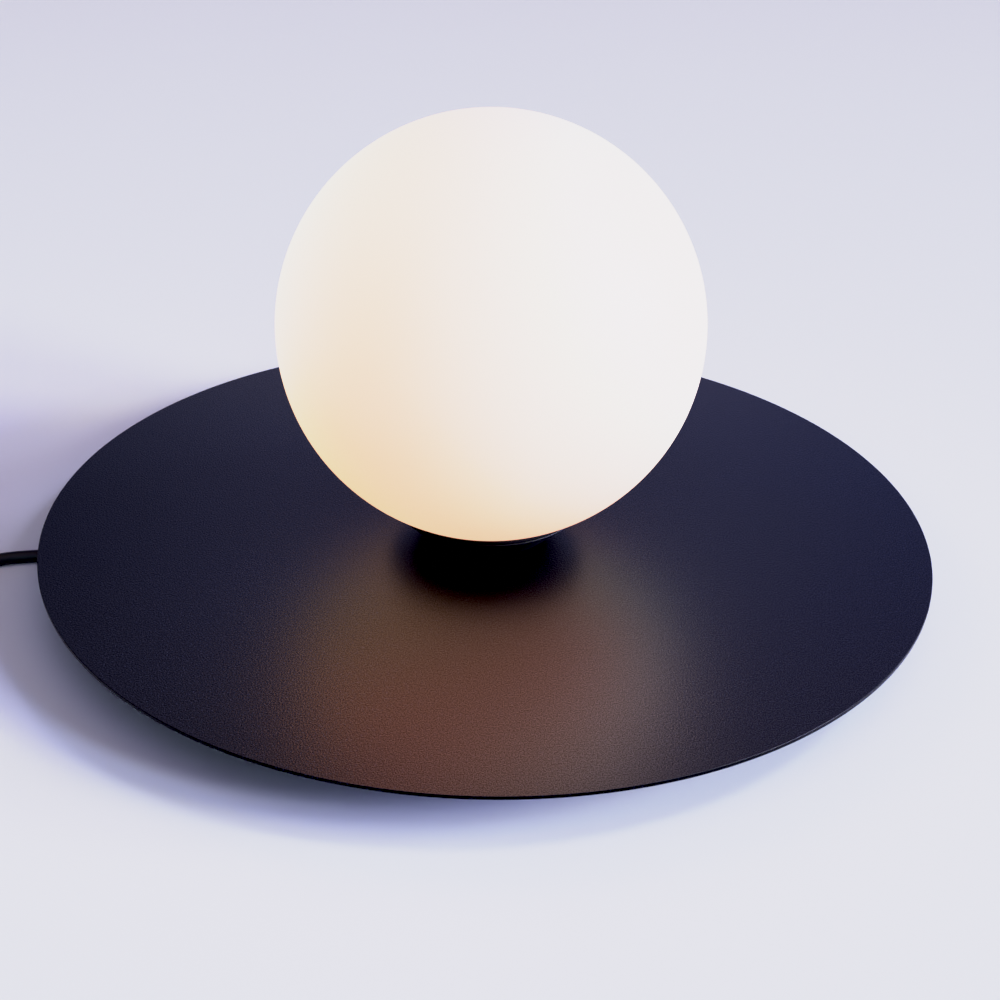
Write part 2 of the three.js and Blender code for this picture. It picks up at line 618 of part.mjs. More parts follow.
add("switch_wire_neutral", flex([[0, -25.7, SW.split], [0, 0, SW.split], [0, 25.7, SW.split]], WIRE_R, 2), 0x2a5fa8, 0.5, 0);
add("switch_wire_live_in", flex([[-1.5, -25.7, SW.split + 1.2], [-1.9, -22, SW.split + 1.0], [-3.3, -17.5, SW.split + 0.2], [-3.6, -14, SW.split], [-3.6, -10, SW.split]], 0.8, 8), 0x6b4226, 0.5, 0);
add("switch_wire_live_out", flex([[1.5, 25.7, SW.split + 1.2], [1.9, 22, SW.split + 1.0], [3.3, 17.5, SW.split + 0.2], [3.6, 14, SW.split], [3.6, 10, SW.split]], 0.8, 8), 0x6b4226, 0.5, 0);

// ---------------------------------------------------------------- flex from the switch through the coil to the plug
into = flexGroup;
const eastX = COIL.x + COIL_START_R; // where the flex touches the coil's outer turn, running along +Y
// the ring that stands for the wound flex, with or without room around it
const coilRing = (room) =>
  ring(
    [
      [COIL.rin + 2 - room, COIL.low - room], [COIL.rout - 2 + room, COIL.low - room], [COIL.rout + room, COIL.low + 2 - room], [COIL.rout + room, COIL.high - 2 + room],
      [COIL.rout - 2 + room, COIL.high + room], [COIL.rin + 2 - room, COIL.high + room], [COIL.rin - room, COIL.high - 2 + room], [COIL.rin - room, COIL.low + 2 - room],
    ],
    48,
    move(COIL.x, COIL.y, 0),
  );
add(
  "cord_from_switch",
  cut(
    flex(
      [
        [SW.x, SW.y + 26, SW.split], [SW.x, SW.y + 35, 8.8], [SW.x + 1.2, -12, 7.6], [SW.x + 4.6, -3, 5.9], [SW.x + 9.6, 4.5, 4.7],
        [eastX - 4.2, 11.5, 4.0], [eastX - 1.4, 18, 3.8], [eastX - 0.4, 24, 3.8], [eastX, 29, 3.8],
      ],
      CORD_R, 8,
    ),
    coilRing(GAP),
  ),
  ...BLACK_PLASTIC,
);
add("cord_coil", coilRing(0), ...BLACK_PLASTIC);
const tieAt = move(COIL.x, COIL.y, 0).multiply(turnZ(TIE_ANGLE));
add(
  "cord_tie",
  cut(
    block(COIL.rin - 2.2, COIL.rout + 1.5, -4.5, 4.5, 0, COIL.high + 1.5, tieAt),
    block(COIL.rin - 0.9, COIL.rout + 0.4, -5.5, 5.5, COIL.low - 0.3, COIL.high + 0.4, tieAt),
  ),
  0x1c1c1e, 0.9, 0,
);
add(
  "cord_to_plug",
  cut(
    flex(
      [
        [eastX, 46, 18.6], [eastX - 0.4, 52, 18.4], [eastX - 2.2, 60, 16.9], [eastX - 6.0, 68, 13.6],
        [eastX - 11.6, 76, 9.7], [eastX - 18.2, 83, 7.4], [PLUG.x + 1.9, PLUG.tip - 6, 6.9], [PLUG.x + 0.1, PLUG.tip - 2.6, PLUG.z], [PLUG.x, PLUG.tip - 0.4, PLUG.z],
      ],
      CORD_R, 8,
    ),
    coilRing(GAP),
  ),
  ...BLACK_PLASTIC,
);

// plug: moulded body with a tapered relief at the cord end, pins pointing along +Y
into = plugGroup;
const plugPlan = outline([[-5.2, 20], [-9, 25], [-17.65, 36], [-17.65, 50], [-13.5, 57], [13.5, 57], [17.65, 50], [17.65, 36], [9, 25], [5.2, 20]]);
const plugSide = outline([[20, -5.4], [28, -6.85], [57, -6.85], [57, 6.85], [28, 6.85], [20, 5.4]]);
const bodyOfPlug = plate(plugPlan, -8, 8).intersect(plate(plugSide, -20, 20, YZ));
const relief = turned([[0, 0], [3.6, 0], [5.2, 21], [0, 21]], 20, new THREE.Matrix4().makeRotationX(-Math.PI / 2));
add("plug_body", join(bodyOfPlug, relief), ...BLACK_PLASTIC);
for (const [i, s] of [[1, 1], [2, -1]])
  add(
    "plug_pin_" + i,
    turned([[0, 57.3], [1.9, 57.3], [1.9, 67], [2.0, 67.3], [2.0, 75], [1.2, 76], [0, 76]], 16, move(s * 9.3, 0, 0).multiply(new THREE.Matrix4().makeRotationX(-Math.PI / 2))),
    ...ZINC,
  );

export default lamp;
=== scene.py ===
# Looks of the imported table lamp: camera, flex, detailed pieces, materials, floor and light.
# Metres, +Z up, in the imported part's own frame. Outlines are written in mm.
import math

import bmesh
import bpy
from mathutils import Matrix, Vector


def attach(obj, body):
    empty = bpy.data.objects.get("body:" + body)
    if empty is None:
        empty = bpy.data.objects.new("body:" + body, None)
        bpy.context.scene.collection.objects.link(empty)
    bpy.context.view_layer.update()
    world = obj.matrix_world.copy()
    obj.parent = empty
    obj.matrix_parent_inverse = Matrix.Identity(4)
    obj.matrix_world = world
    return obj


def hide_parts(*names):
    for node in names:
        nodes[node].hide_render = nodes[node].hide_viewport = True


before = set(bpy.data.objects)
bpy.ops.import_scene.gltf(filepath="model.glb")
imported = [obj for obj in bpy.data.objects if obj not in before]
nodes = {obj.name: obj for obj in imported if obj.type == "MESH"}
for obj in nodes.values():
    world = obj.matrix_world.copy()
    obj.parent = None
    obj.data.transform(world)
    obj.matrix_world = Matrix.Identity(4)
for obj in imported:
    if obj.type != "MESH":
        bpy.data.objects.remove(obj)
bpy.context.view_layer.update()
scene = bpy.context.scene
MM = 0.001

# ---------------------------------------------------------------- camera
cam_data = bpy.data.cameras.new("camera")
cam_data.sensor_width = 36
cam_data.lens = 77.4
cam_data.clip_start, cam_data.clip_end = 0.01, 50
cam = bpy.data.objects.new("camera", cam_data)
scene.collection.objects.link(cam)
cam.matrix_world = Matrix(
    (
        (0.9997056, -0.0235094, -0.0059999, 0.0),
        (0.0061031, 0.4829897, -0.8756047, -0.7311137),
        (0.0234828, 0.8753104, 0.4829910, 0.4369747),
        (0, 0, 0, 1),
    )
)
scene.camera = cam

# a plain picture, with highlights above 0.6 rolled off so that the lit glass keeps its tint
scene.view_settings.view_transform = "Standard"
scene.view_settings.use_curve_mapping = True
tone = scene.view_settings.curve_mapping
tone.black_level = (0.009, 0.0095, 0.011)
tone.white_level = (4.0, 4.0, 4.0)
tone.extend = "HORIZONTAL"
line = tone.curves[3]
line.points[0].location = (0.0, 0.0)
line.points[1].location = (1.0, 0.90)
for x, y in ((0.60, 0.600), (0.80, 0.737), (1.00, 0.790), (1.40, 0.832), (2.00, 0.860), (2.80, 0.880)):
    line.points.new(x / 4.0, y)
for p in line.points:
    p.handle_type = "VECTOR" if p.location[0] < 0.151 else "AUTO_CLAMPED"
tone.update()


# ---------------------------------------------------------------- helpers
def put(name, mesh_or_curve, body):
    o = bpy.data.objects.new(name, mesh_or_curve)
    scene.collection.objects.link(o)
    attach(o, body)
    return o


def smooth(mesh, angle=35):
    for p in mesh.polygons:
        p.use_smooth = True
    mesh.set_sharp_from_angle(angle=math.radians(angle))


def mesh_from(name, verts, faces, angle=35):
    me = bpy.data.meshes.new(name)
    me.from_pydata([tuple(v) for v in verts], [], faces)
    me.update()
    bm = bmesh.new()
    bm.from_mesh(me)
    bmesh.ops.remove_doubles(bm, verts=bm.verts, dist=1e-7)
    bmesh.ops.recalc_face_normals(bm, faces=bm.faces)
    bm.to_mesh(me)
    bm.free()
    smooth(me, angle)
    return me


def turned(name, profile, steps=96, matrix=None, angle=35):
    """A closed profile of (radius, height) in mm turned about Z. Points on the axis make a pole."""
    verts, rings = [], []
    for r, z in profile:
        if r < 1e-6:
            rings.append([len(verts)])
            verts.append(Vector((0, 0, z)))
        else:
            rings.append(list(range(len(verts), len(verts) + steps)))
            for i in range(steps):
                a = 2 * math.pi * i / steps
                verts.append(Vector((r * math.cos(a), r * math.sin(a), z)))
    faces = []
    n = len(profile)
    closed = profile[0][0] > 1e-6 or profile[-1][0] > 1e-6
    for k in range(n if closed else n - 1):
        a, b = rings[k], rings[(k + 1) % n]
        for i in range(steps):
            j = (i + 1) % steps
            if len(a) == 1 and len(b) == 1:
                continue
            if len(a) == 1:
                faces.append((a[0], b[j], b[i]))
            elif len(b) == 1:
                faces.append((a[i], a[j], b[0]))
            else:
                faces.append((a[i], a[j], b[j], b[i]))
    m = matrix or Matrix.Identity(4)
    return mesh_from(name, [(m @ v) * MM for v in verts], faces, angle)


def arc(cx, cz, r, a0, a1, n):
    return [
        (cx + r * math.cos(math.radians(a0 + (a1 - a0) * i / n)), cz + r * math.sin(math.radians(a0 + (a1 - a0) * i / n)))
        for i in range(n + 1)
    ]


def rounded(points, radius, n=4):
    """A closed outline with its corners rounded. radius may be a list, one for each corner."""
    out = []
    m = len(points)
    for i in range(m):
        p, c, q = Vector(points[i - 1]), Vector(points[i]), Vector(points[(i + 1) % m])
        r = radius[i] if isinstance(radius, (list, tuple)) else radius
        if r <= 0:
            out.append((c.x, c.y))
            continue
        u, v = (p - c).normalized(), (q - c).normalized()
        half = math.acos(max(-1, min(1, u.dot(v)))) / 2
        back = min(r / math.tan(half), (p - c).length * 0.49, (q - c).length * 0.49)
        rr = back * math.tan(half)
        mid = (u + v).normalized()
        centre = c + mid * (rr / math.sin(half))
        s, e = c + u * back - centre, c + v * back - centre
        a0, a1 = math.atan2(s.y, s.x), math.atan2(e.y, e.x)
        d = (a1 - a0 + math.pi) % (2 * math.pi) - math.pi
        for k in range(n + 1):
            a = a0 + d * k / n
            out.append((centre.x + rr * math.cos(a), centre.y + rr * math.sin(a)))
    return out


def loft(name, sections, angle=40, matrix=None):
    """Closed rings of points, in mm, joined one to the next, with both ends closed."""
    verts, faces = [], []
    k = len(sections[0])
    m = matrix or Matrix.Identity(4)
    for s in sections:
        verts += [(m @ Vector(p)) * MM for p in s]
    for i in range(len(sections) - 1):
        for j in range(k):
            a, b = i * k + j, i * k + (j + 1) % k
            faces.append((a, b, b + k, a + k))
    faces.append(tuple(reversed(range(k))))
    faces.append(tuple(range((len(sections) - 1) * k, len(sections) * k)))
    return mesh_from(name, verts, faces, angle)


def superellipse(a, b, power, n):
    out = []
    for i in range(n):
        t = 2 * math.pi * i / n
        c, s = math.cos(t), math.sin(t)
        out.append((a * math.copysign(abs(c) ** (2 / power), c), b * math.copysign(abs(s) ** (2 / power), s)))
    return out


def smoothstep(x):
    x = max(0.0, min(1.0, x))
    return x * x * (3 - 2 * x)


def boolean(mesh, cutter, operation="DIFFERENCE", angle=35):
    """mesh with cutter taken away from it, joined to it, or kept only where it meets it."""
    a, b = bpy.data.objects.new("tmp_a", mesh), bpy.data.objects.new("tmp_b", cutter)
    scene.collection.objects.link(a)
    scene.collection.objects.link(b)
    mod = a.modifiers.new("cut", "BOOLEAN")
    mod.operation, mod.object, mod.solver = operation, b, "EXACT"
    bpy.context.view_layer.update()
    out = bpy.data.meshes.new_from_object(a.evaluated_get(bpy.context.evaluated_depsgraph_get()))
    out.name = mesh.name
    bpy.data.objects.remove(a)
    bpy.data.objects.remove(b)
    bm = bmesh.new()
    bm.from_mesh(out)
    bmesh.ops.remove_doubles(bm, verts=bm.verts, dist=1e-6)
    bmesh.ops.dissolve_degenerate(bm, edges=bm.edges, dist=1e-6)
    bmesh.ops.recalc_face_normals(bm, faces=bm.faces)
    bm.to_mesh(out)
    bm.free()
    smooth(out, angle)
    return out


def pushed(name, outline, d0, d1, axes, matrix=None, edge=0.0, steps=3, angle=35):
    """An outline in mm pushed from d0 to d1, with rounded rims of radius edge. axes are the outline's two axes and the depth."""
    a, b, c = (Vector(v) for v in axes)
    m = matrix or Matrix.Identity(4)
    centre = Vector((sum(p[0] for p in outline) / len(outline), sum(p[1] for p in outline) / len(outline)))
    n = len(outline)
    area = sum(outline[i][0] * outline[(i + 1) % n][1] - outline[(i + 1) % n][0] * outline[i][1] for i in range(n))

    def inset(dist):
        if dist <= 0:
            return [Vector(p) for p in outline]
        out = []
        for i in range(n):
            p, q, r = Vector(outline[i - 1]), Vector(outline[i]), Vector(outline[(i + 1) % n])
            e1, e2 = (q - p).normalized(), (r - q).normalized()
            n1, n2 = Vector((-e1.y, e1.x)), Vector((-e2.y, e2.x))
            k = n1 + n2
            k = k / max(0.2, k.length_squared) * 2
            out.append(q + k * dist * (1 if area > 0 else -1))
        return out

    levels = []
    if edge > 0:
        for i in range(steps + 1):
            t = math.pi / 2 * i / steps
            levels.append((d0 + edge * (1 - math.sin(t)), edge * (1 - math.cos(t))))
        levels = sorted(levels)
        levels += [(d0 + d1 - d, ins) for d, ins in reversed(levels)]
    else:
        levels = [(d0, 0), (d1, 0)]
    verts, faces = [], []
    for d, ins in levels:
        for p in inset(ins):
            verts.append((m @ (a * p.x + b * p.y + c * d)) * MM)
    for i in range(len(levels) - 1):
        for j in range(n):
            x, y = i * n + j, i * n + (j + 1) % n
            faces.append((x, y, y + n, x + n))
    faces.append(tuple(reversed(range(n))))
    faces.append(tuple(range((len(levels) - 1) * n, len(levels) * n)))
    return mesh_from(name, verts, faces, angle)


XY = ((1, 0, 0), (0, 1, 0), (0, 0, 1))
XZ = ((1, 0, 0), (0, 0, 1), (0, 1, 0))
YZ = ((0, 1, 0), (0, 0, 1), (1, 0, 0))


# ---------------------------------------------------------------- materials
class Nodes:
    """A new material with a Principled shader, and short ways to add nodes to it."""

    def __init__(self, name):
        self.m = bpy.data.materials.new(name)
        self.m.use_nodes = True
        self.t = self.m.node_tree
        self.t.nodes.clear()
        self.out = self.t.nodes.new("ShaderNodeOutputMaterial")
        self.p = self.t.nodes.new("ShaderNodeBsdfPrincipled")
        self.t.links.new(self.p.outputs[0], self.out.inputs[0])
        self.coord = self.t.nodes.new("ShaderNodeTexCoord").outputs["Object"]

    def set(self, **values):
        for k, v in values.items():
            self.p.inputs[k.replace("_", " ")].default_value = v
        return self

    def link(self, a, b):
        self.t.links.new(a, b)
        return self

    def noise(self, scale, detail=2.0, rough=0.5, vector=None, distortion=0.0):
        n = self.t.nodes.new("ShaderNodeTexNoise")
        n.inputs["Scale"].default_value = scale
        n.inputs["Detail"].default_value = detail
        n.inputs["Roughness"].default_value = rough
        n.inputs["Distortion"].default_value = distortion
        self.link(vector or self.coord, n.inputs["Vector"])
        return n.outputs["Fac"]

    def cells(self, scale, feature="F1", vector=None, output="Distance"):
        n = self.t.nodes.new("ShaderNodeTexVoronoi")
        n.feature = feature
        n.inputs["Scale"].default_value = scale
        self.link(vector or self.coord, n.inputs["Vector"])
        return n.outputs[output]

    def stretch(self, x, y, z):
        n = self.t.nodes.new("ShaderNodeVectorMath")
        n.operation = "MULTIPLY"
        n.inputs[1].default_value = (x, y, z)
        self.link(self.coord, n.inputs[0])
        return n.outputs[0]

    def ramp(self, fac, *stops, interpolation="LINEAR"):
        n = self.t.nodes.new("ShaderNodeValToRGB")
        n.color_ramp.interpolation = interpolation
        e = n.color_ramp.elements
        while len(e) < len(stops):
            e.new(0.5)
        for item, (pos, col) in zip(e, stops):
            item.position = pos
            item.color = (*col, 1) if isinstance(col, (tuple, list)) else (col, col, col, 1)
        self.link(fac, n.inputs["Fac"])
        return n.outputs["Color"]

    def math(self, op, a, b=None, c=None, clamp=False):
        n = self.t.nodes.new("ShaderNodeMath")
        n.operation = op
        n.use_clamp = clamp
        for i, v in enumerate((a, b, c)):
            if v is None:
                continue
            if isinstance(v, (int, float)):
                n.inputs[i].default_value = v
            else:
                self.link(v, n.inputs[i])
        return n.outputs[0]

    def span(self, fac, a0, a1, b0, b1):
        n = self.t.nodes.new("ShaderNodeMapRange")
        for k, v in zip(("From Min", "From Max", "To Min", "To Max"), (a0, a1, b0, b1)):
            n.inputs[k].default_value = v
        self.link(fac, n.inputs["Value"])
        return n.outputs["Result"]

    def mix(self, fac, a, b):
        n = self.t.nodes.new("ShaderNodeMix")
        n.data_type = "RGBA"
        for key, v in (("Factor", fac), ("A", a), ("B", b)):
            sock = [s for s in n.inputs if s.name == key and (s.type == "RGBA" or key == "Factor")][0]
            if isinstance(v, (int, float)):
                sock.default_value = v
            elif isinstance(v, (tuple, list)):
                sock.default_value = (*v, 1)
            else:
                self.link(v, sock)
        return [s for s in n.outputs if s.type == "RGBA"][0]

    def bump(self, height, strength, distance, normal=None):
        n = self.t.nodes.new("ShaderNodeBump")
        n.inputs["Strength"].default_value = strength
        n.inputs["Distance"].default_value = distance
        self.link(height, n.inputs["Height"])
        if normal is not None:
            self.link(normal, n.inputs["Normal"])
        return n.outputs["Normal"]

    def xyz(self, vector=None):
        n = self.t.nodes.new("ShaderNodeSeparateXYZ")
        self.link(vector or self.coord, n.inputs[0])
        return n.outputs


def powder_coat(name, dark, light, roughness, grain=1500.0, relief=0.00008, ior=1.5, mottle=0.0, edge=None):
    """Fine-textured powder coating: close pebbly grains that each tilt their own way, small brighter specks, a faint
    cloudiness.
    mottle makes some of the grains duller than others. From the radius edge outwards the rim's outer face reflects
    nothing and reads dark: painted shade along the rim."""
    k = Nodes(name)
    if mottle:
        dull_grain_and_painted_rim_shade = k.span(k.noise(2400.0, 1.0, 0.5, k.stretch(1.0, 0.62, 1.0)), 0.36, 0.64, 0.0, mottle)
        # painted shade: past the radius edge the rim's outer face is made to reflect nothing, so it shows as a dark
        # line
        if edge:
            n = k.t.nodes.new("ShaderNodeVectorMath")
            n.operation = "LENGTH"
            k.link(k.stretch(1.0, 1.0, 0.0), n.inputs[0])
            dull_grain_and_painted_rim_shade = k.math("MAXIMUM", dull_grain_and_painted_rim_shade, k.span(n.outputs["Value"], edge, edge + 0.00008, 0.0, 1.0))
        k.link(dull_grain_and_painted_rim_shade, k.p.inputs["Metallic"])
    fine = k.noise(grain, 1.5, 0.55)
    cloud = k.noise(14.0, 3.0, 0.55)
    speck = k.span(k.noise(grain * 0.93, 0.0, 0.5, k.stretch(1.03, 0.98, 1.0)), 0.68, 0.80, 0.0, 1.0)
    base = k.mix(k.span(fine, 0.30, 0.70, 0.0, 1.0), dark, light)
    base = k.mix(k.math("MULTIPLY", speck, 0.6), base, tuple(min(1, c * 9.0) for c in light))
    base = k.mix(k.span(cloud, 0.35, 0.65, 0.0, 0.22), base, dark)
    k.link(base, k.p.inputs["Base Color"])
    r = k.math("ADD", k.span(fine, 0.30, 0.70, roughness + 0.05, roughness - 0.05), k.span(cloud, 0.3, 0.7, -0.012, 0.016))
    k.link(r, k.p.inputs["Roughness"])
    k.link(k.bump(fine, 1.0, relief), k.p.inputs["Normal"])
    k.set(IOR=ior)
    return k.m


def moulded(name, color, roughness, grain=900.0, relief=0.00002, strength=0.25, vary=0.25, ior=1.5, spec=0.5):
    """Moulded plastic or rubber with a spark-eroded grain."""
    k = Nodes(name)
    fine = k.noise(grain, 3.0, 0.55)
    broad = k.noise(45.0, 2.0, 0.5)
    lo, hi = tuple(c * (1 - vary) for c in color), tuple(min(1, c * (1 + vary)) for c in color)
    k.link(k.mix(k.span(k.math("ADD", fine, broad), 0.75, 1.25, 0.0, 1.0), lo, hi), k.p.inputs["Base Color"])
    k.link(k.span(k.math("ADD", fine, broad), 0.7, 1.3, roughness - 0.05, roughness + 0.06), k.p.inputs["Roughness"])
    k.link(k.bump(fine, strength, relief), k.p.inputs["Normal"])
    k.set(IOR=ior, Specular_IOR_Level=spec)
    return k.m


def metal(name, color, roughness, brush=(1.0, 1.0, 1.0), grain=700.0, strength=0.12, spots=0.0, spot_color=(0.2, 0.2, 0.2)):
    k = Nodes(name)
    v = k.stretch(*brush)
    lines = k.noise(grain, 4.0, 0.6, v)
    broad = k.noise(60.0, 3.0, 0.6)
    lo, hi = tuple(c * 0.86 for c in color), tuple(min(1, c * 1.08) for c in color)
    base = k.mix(k.span(lines, 0.3, 0.7, 0.0, 1.0), lo, hi)
    if spots > 0:
        base = k.mix(k.math("MULTIPLY", k.span(broad, 0.5, 0.72, 0.0, 1.0), spots), base, spot_color)
    k.link(base, k.p.inputs["Base Color"])
    k.link(k.span(k.math("ADD", lines, broad), 0.6, 1.4, roughness - 0.07, roughness + 0.09), k.p.inputs["Roughness"])
    k.link(k.bump(lines, strength, 0.00003), k.p.inputs["Normal"])
    k.set(Metallic=1.0)
    return k.m


MAT = {}
# the disc's rim face, from radius 172.38 mm outwards, carries a painted shade line
MAT["disc"] = powder_coat("disc_powder_coat", (0.0016, 0.0018, 0.0028), (0.0042, 0.0046, 0.0070), 0.34, grain=1500.0, relief=0.00012, ior=1.80, mottle=0.60, edge=0.17238)
MAT["cup"] = powder_coat("cup_powder_coat", (0.0014, 0.0016, 0.0022), (0.0032, 0.0036, 0.0050), 0.50, grain=1500.0, relief=0.00008, ior=1.36)
MAT["pan"] = powder_coat("base_powder_coat", (0.0040, 0.0044, 0.0062), (0.0090, 0.0098, 0.0130), 0.46, grain=1400.0, relief=0.00010)
MAT["rubber"] = moulded("foot_rubber", (0.020, 0.020, 0.021), 0.72, 1100.0, 0.00003, 0.3)
MAT["gasket"] = moulded("silicone_gasket", (0.004, 0.004, 0.0045), 0.85, 1400.0, 0.00001, 0.2, spec=0.2)
MAT["plastic"] = moulded("switch_plastic", (0.014, 0.014, 0.0155), 0.47, 1600.0, 0.00003, 0.35)
MAT["rocker"] = moulded("rocker_plastic", (0.013, 0.013, 0.014), 0.26, 900.0, 0.00001, 0.08)
MAT["nylon"] = moulded("natural_nylon", (0.80, 0.77, 0.70), 0.45, 700.0, 0.00001, 0.1, vary=0.04)
MAT["ceramic"] = moulded("glazed_ceramic", (0.84, 0.82, 0.77), 0.16, 260.0, 0.00002, 0.12, vary=0.03)
MAT["spring"] = metal("spring_steel", (0.46, 0.47, 0.49), 0.30, (1, 1, 6), 500.0)
MAT["zinc"] = metal("zinc_plate", (0.66, 0.67, 0.69), 0.32, (1, 1, 1), 420.0, 0.1, 0.35, (0.50, 0.52, 0.56))
MAT["iron"] = metal("rolled_steel_plate", (0.24, 0.245, 0.25), 0.48, (1, 7, 1), 300.0, 0.2, 0.5, (0.10, 0.10, 0.105))
MAT["brass"] = metal("contact_brass", (0.74, 0.53, 0.22), 0.28, (1, 1, 3), 500.0, 0.1, 0.25, (0.45, 0.28, 0.10))
MAT["brown"] = moulded("brown_insulation", (0.15, 0.055, 0.02), 0.42, 500.0, 0.00001, 0.1)
MAT["blue"] = moulded("blue_insulation", (0.02, 0.11, 0.38), 0.42, 500.0, 0.00001, 0.1)


def sheath():
    """Smooth black flex: faint lengthwise waviness of the extruded sheath, and a little dust in the gloss."""
    k = Nodes("flex_sheath")
    wave = k.noise(260.0, 2.0, 0.5)
    fine = k.noise(2200.0, 2.0, 0.6)
    k.link(k.mix(k.span(wave, 0.3, 0.7, 0.0, 1.0), (0.0045, 0.0045, 0.0052), (0.0080, 0.0080, 0.0090)), k.p.inputs["Base Color"])
    k.link(k.math("ADD", k.span(wave, 0.3, 0.7, 0.42, 0.52), k.span(fine, 0.3, 0.7, -0.03, 0.04)), k.p.inputs["Roughness"])
    k.link(k.bump(k.math("ADD", wave, k.math("MULTIPLY", fine, 0.15)), 0.12, 0.00008), k.p.inputs["Normal"])
    k.set(IOR=1.42)
    return k.m


def strap():
    """Woven hook-and-loop band: a fine crossed rib of looped yarn."""
    k = Nodes("tie_band")
    rib = k.cells(1500.0, "F1")
    fuzz = k.noise(2600.0, 3.0, 0.7)
    k.link(k.mix(k.span(rib, 0.1, 0.6, 0.0, 1.0), (0.030, 0.030, 0.032), (0.010, 0.010, 0.011)), k.p.inputs["Base Color"])
    k.link(k.span(fuzz, 0.3, 0.7, 0.82, 0.98), k.p.inputs["Roughness"])
    k.link(k.bump(k.math("ADD", rib, fuzz), 0.6, 0.0001), k.p.inputs["Normal"])
    k.set(Sheen_Weight=0.35, Sheen_Roughness=0.5)
    return k.m


def nickel_pins():
    """Plug pins: a black sleeve on the half next to the plug, nickel plate on the rest."""
    k = Nodes("plug_pin_nickel")
    y = k.xyz()[1]
    metal_part = k.math("GREATER_THAN", y, 0.1616)
    fine = k.noise(900.0, 3.0, 0.6)
    plated = k.mix(k.span(fine, 0.3, 0.7, 0.0, 1.0), (0.60, 0.60, 0.585), (0.74, 0.735, 0.715))
    k.link(k.mix(metal_part, (0.014, 0.014, 0.015), plated), k.p.inputs["Base Color"])
    k.link(metal_part, k.p.inputs["Metallic"])
    k.link(k.math("ADD", k.math("MULTIPLY", metal_part, -0.18), k.span(fine, 0.3, 0.7, 0.36, 0.44)), k.p.inputs["Roughness"])
    k.link(k.bump(fine, 0.08, 0.00002), k.p.inputs["Normal"])
    return k.m


GLOBE_Z, GLOBE_R = 107.5, 80.0


def opal():
    """Lit opal glass, satin etched. Warm low down, towards the bulb's side, from the bulb inside; paler high up and on
    the right, where daylight falling on the glass is painted into its emission.
    """
    k = Nodes("opal_glass")
    x, y, z = (k.math("DIVIDE", v, GLOBE_R * MM) for v in (k.xyz()[0], k.xyz()[1], k.math("SUBTRACT", k.xyz()[2], GLOBE_Z * MM)))
    # low down, the back glows as the front does
    y = k.math("MULTIPLY_ADD", k.math("MAXIMUM", y, 0.0), k.span(z, 0.1, 0.5, -2.0, 0.0), y)
    cloud = k.noise(11.0, 2.0, 0.5)
    # a rising diagonal through the glass; the glow is the same on both ends of any line square to it and to X
    w = k.math("MULTIPLY_ADD", y, 0.483, k.math("MULTIPLY", z, 0.8756))
    xx, ww, xw = k.math("MULTIPLY", x, x), k.math("MULTIPLY", w, w), k.math("MULTIPLY", x, w)
    parts = (x, w, xw, xx, ww, k.math("MULTIPLY", xx, w), k.math("MULTIPLY", ww, x), k.math("MULTIPLY", xx, x), k.math("MULTIPLY", ww, w))

    def law(low, high, const, *terms):
        """const plus each term's share, kept between low and high, as a share of the strength below."""
        total = k.span(cloud, 0.3, 0.7, const - 0.02, const + 0.02)
        for value, share in terms:
            total = k.math("MULTIPLY_ADD", value, share, total)
        return k.math("DIVIDE", k.math("MINIMUM", k.math("MAXIMUM", total, low), high), 2.2)

    # painted daylight: besides the bulb's warm light, the emission is paler high up and on the right, where daylight
    # falls on the glass
    glow_and_painted_daylight = k.t.nodes.new("ShaderNodeCombineColor")
    k.link(law(1.20, 2.2, 1.32, (k.math("MINIMUM", y, 0.25), -0.72), (z, 0.54), (x, 0.18), (xx, 0.45)), glow_and_painted_daylight.inputs[0])
    k.link(law(0.52, 1.5, 1.202, *zip(parts, (1.037, 0.372, 0.253, 0.581, -0.389, 0.655, -0.868, -0.466, -0.175))), glow_and_painted_daylight.inputs[1])
    k.link(law(0.36, 1.5, 0.881, *zip(parts, (0.889, 0.297, 0.519, 0.720, -0.178, 0.889, -0.385, -0.148, 0.002))), glow_and_painted_daylight.inputs[2])
    k.link(glow_and_painted_daylight.outputs[0], k.p.inputs["Emission Color"])
    k.set(Emission_Strength=2.2)
    fine = k.noise(1800.0, 2.0, 0.6)
    k.link(k.mix(k.span(cloud, 0.3, 0.7, 0.0, 1.0), (0.100, 0.098, 0.095), (0.110, 0.108, 0.105)), k.p.inputs["Base Color"])
    k.link(k.span(fine, 0.3, 0.7, 0.44, 0.54), k.p.inputs["Roughness"])
    k.link(k.bump(fine, 0.05, 0.00002), k.p.inputs["Normal"])
    k.set(IOR=1.34)
    return k.m


def frosted_bulb():
    k = Nodes("frosted_bulb")
    cloud = k.noise(60.0, 2.0, 0.5)
    z = k.xyz()[2]
    warm = k.ramp(k.span(z, 0.059, 0.099, 0.0, 1.0), (0.0, (0.75, 0.50, 0.27)), (0.35, (1.0, 0.82, 0.56)), (1.0, (1.0, 0.88, 0.68)))
    k.link(warm, k.p.inputs["Emission Color"])
    k.set(Emission_Strength=2.2)
    k.link(k.mix(k.span(cloud, 0.3, 0.7, 0.0, 1.0), (0.62, 0.60, 0.55), (0.68, 0.66, 0.61)), k.p.inputs["Base Color"])
    k.link(k.span(cloud, 0.3, 0.7, 0.36, 0.46), k.p.inputs["Roughness"])
    return k.m


MAT["flex"] = sheath()
MAT["strap"] = strap()
MAT["pins"] = nickel_pins()
MAT["opal"] = opal()
MAT["bulb"] = frosted_bulb()


def dress(obj, mat):
    obj.data.materials.clear()
    obj.data.materials.append(MAT[mat])
    return obj


# ---------------------------------------------------------------- flex (centre lines in mm, as in the part's source)
CORD_R = 2.5
LIE = 2.55
SW_X, SW_Y, SPLIT = -251.0, -56.0, 8.95
LANE = -209.0
COIL_X, COIL_Y = -266.0, 38.0
PLUG_X, PLUG_Y, PLUG_Z = -258.0, 94.5, 6.85

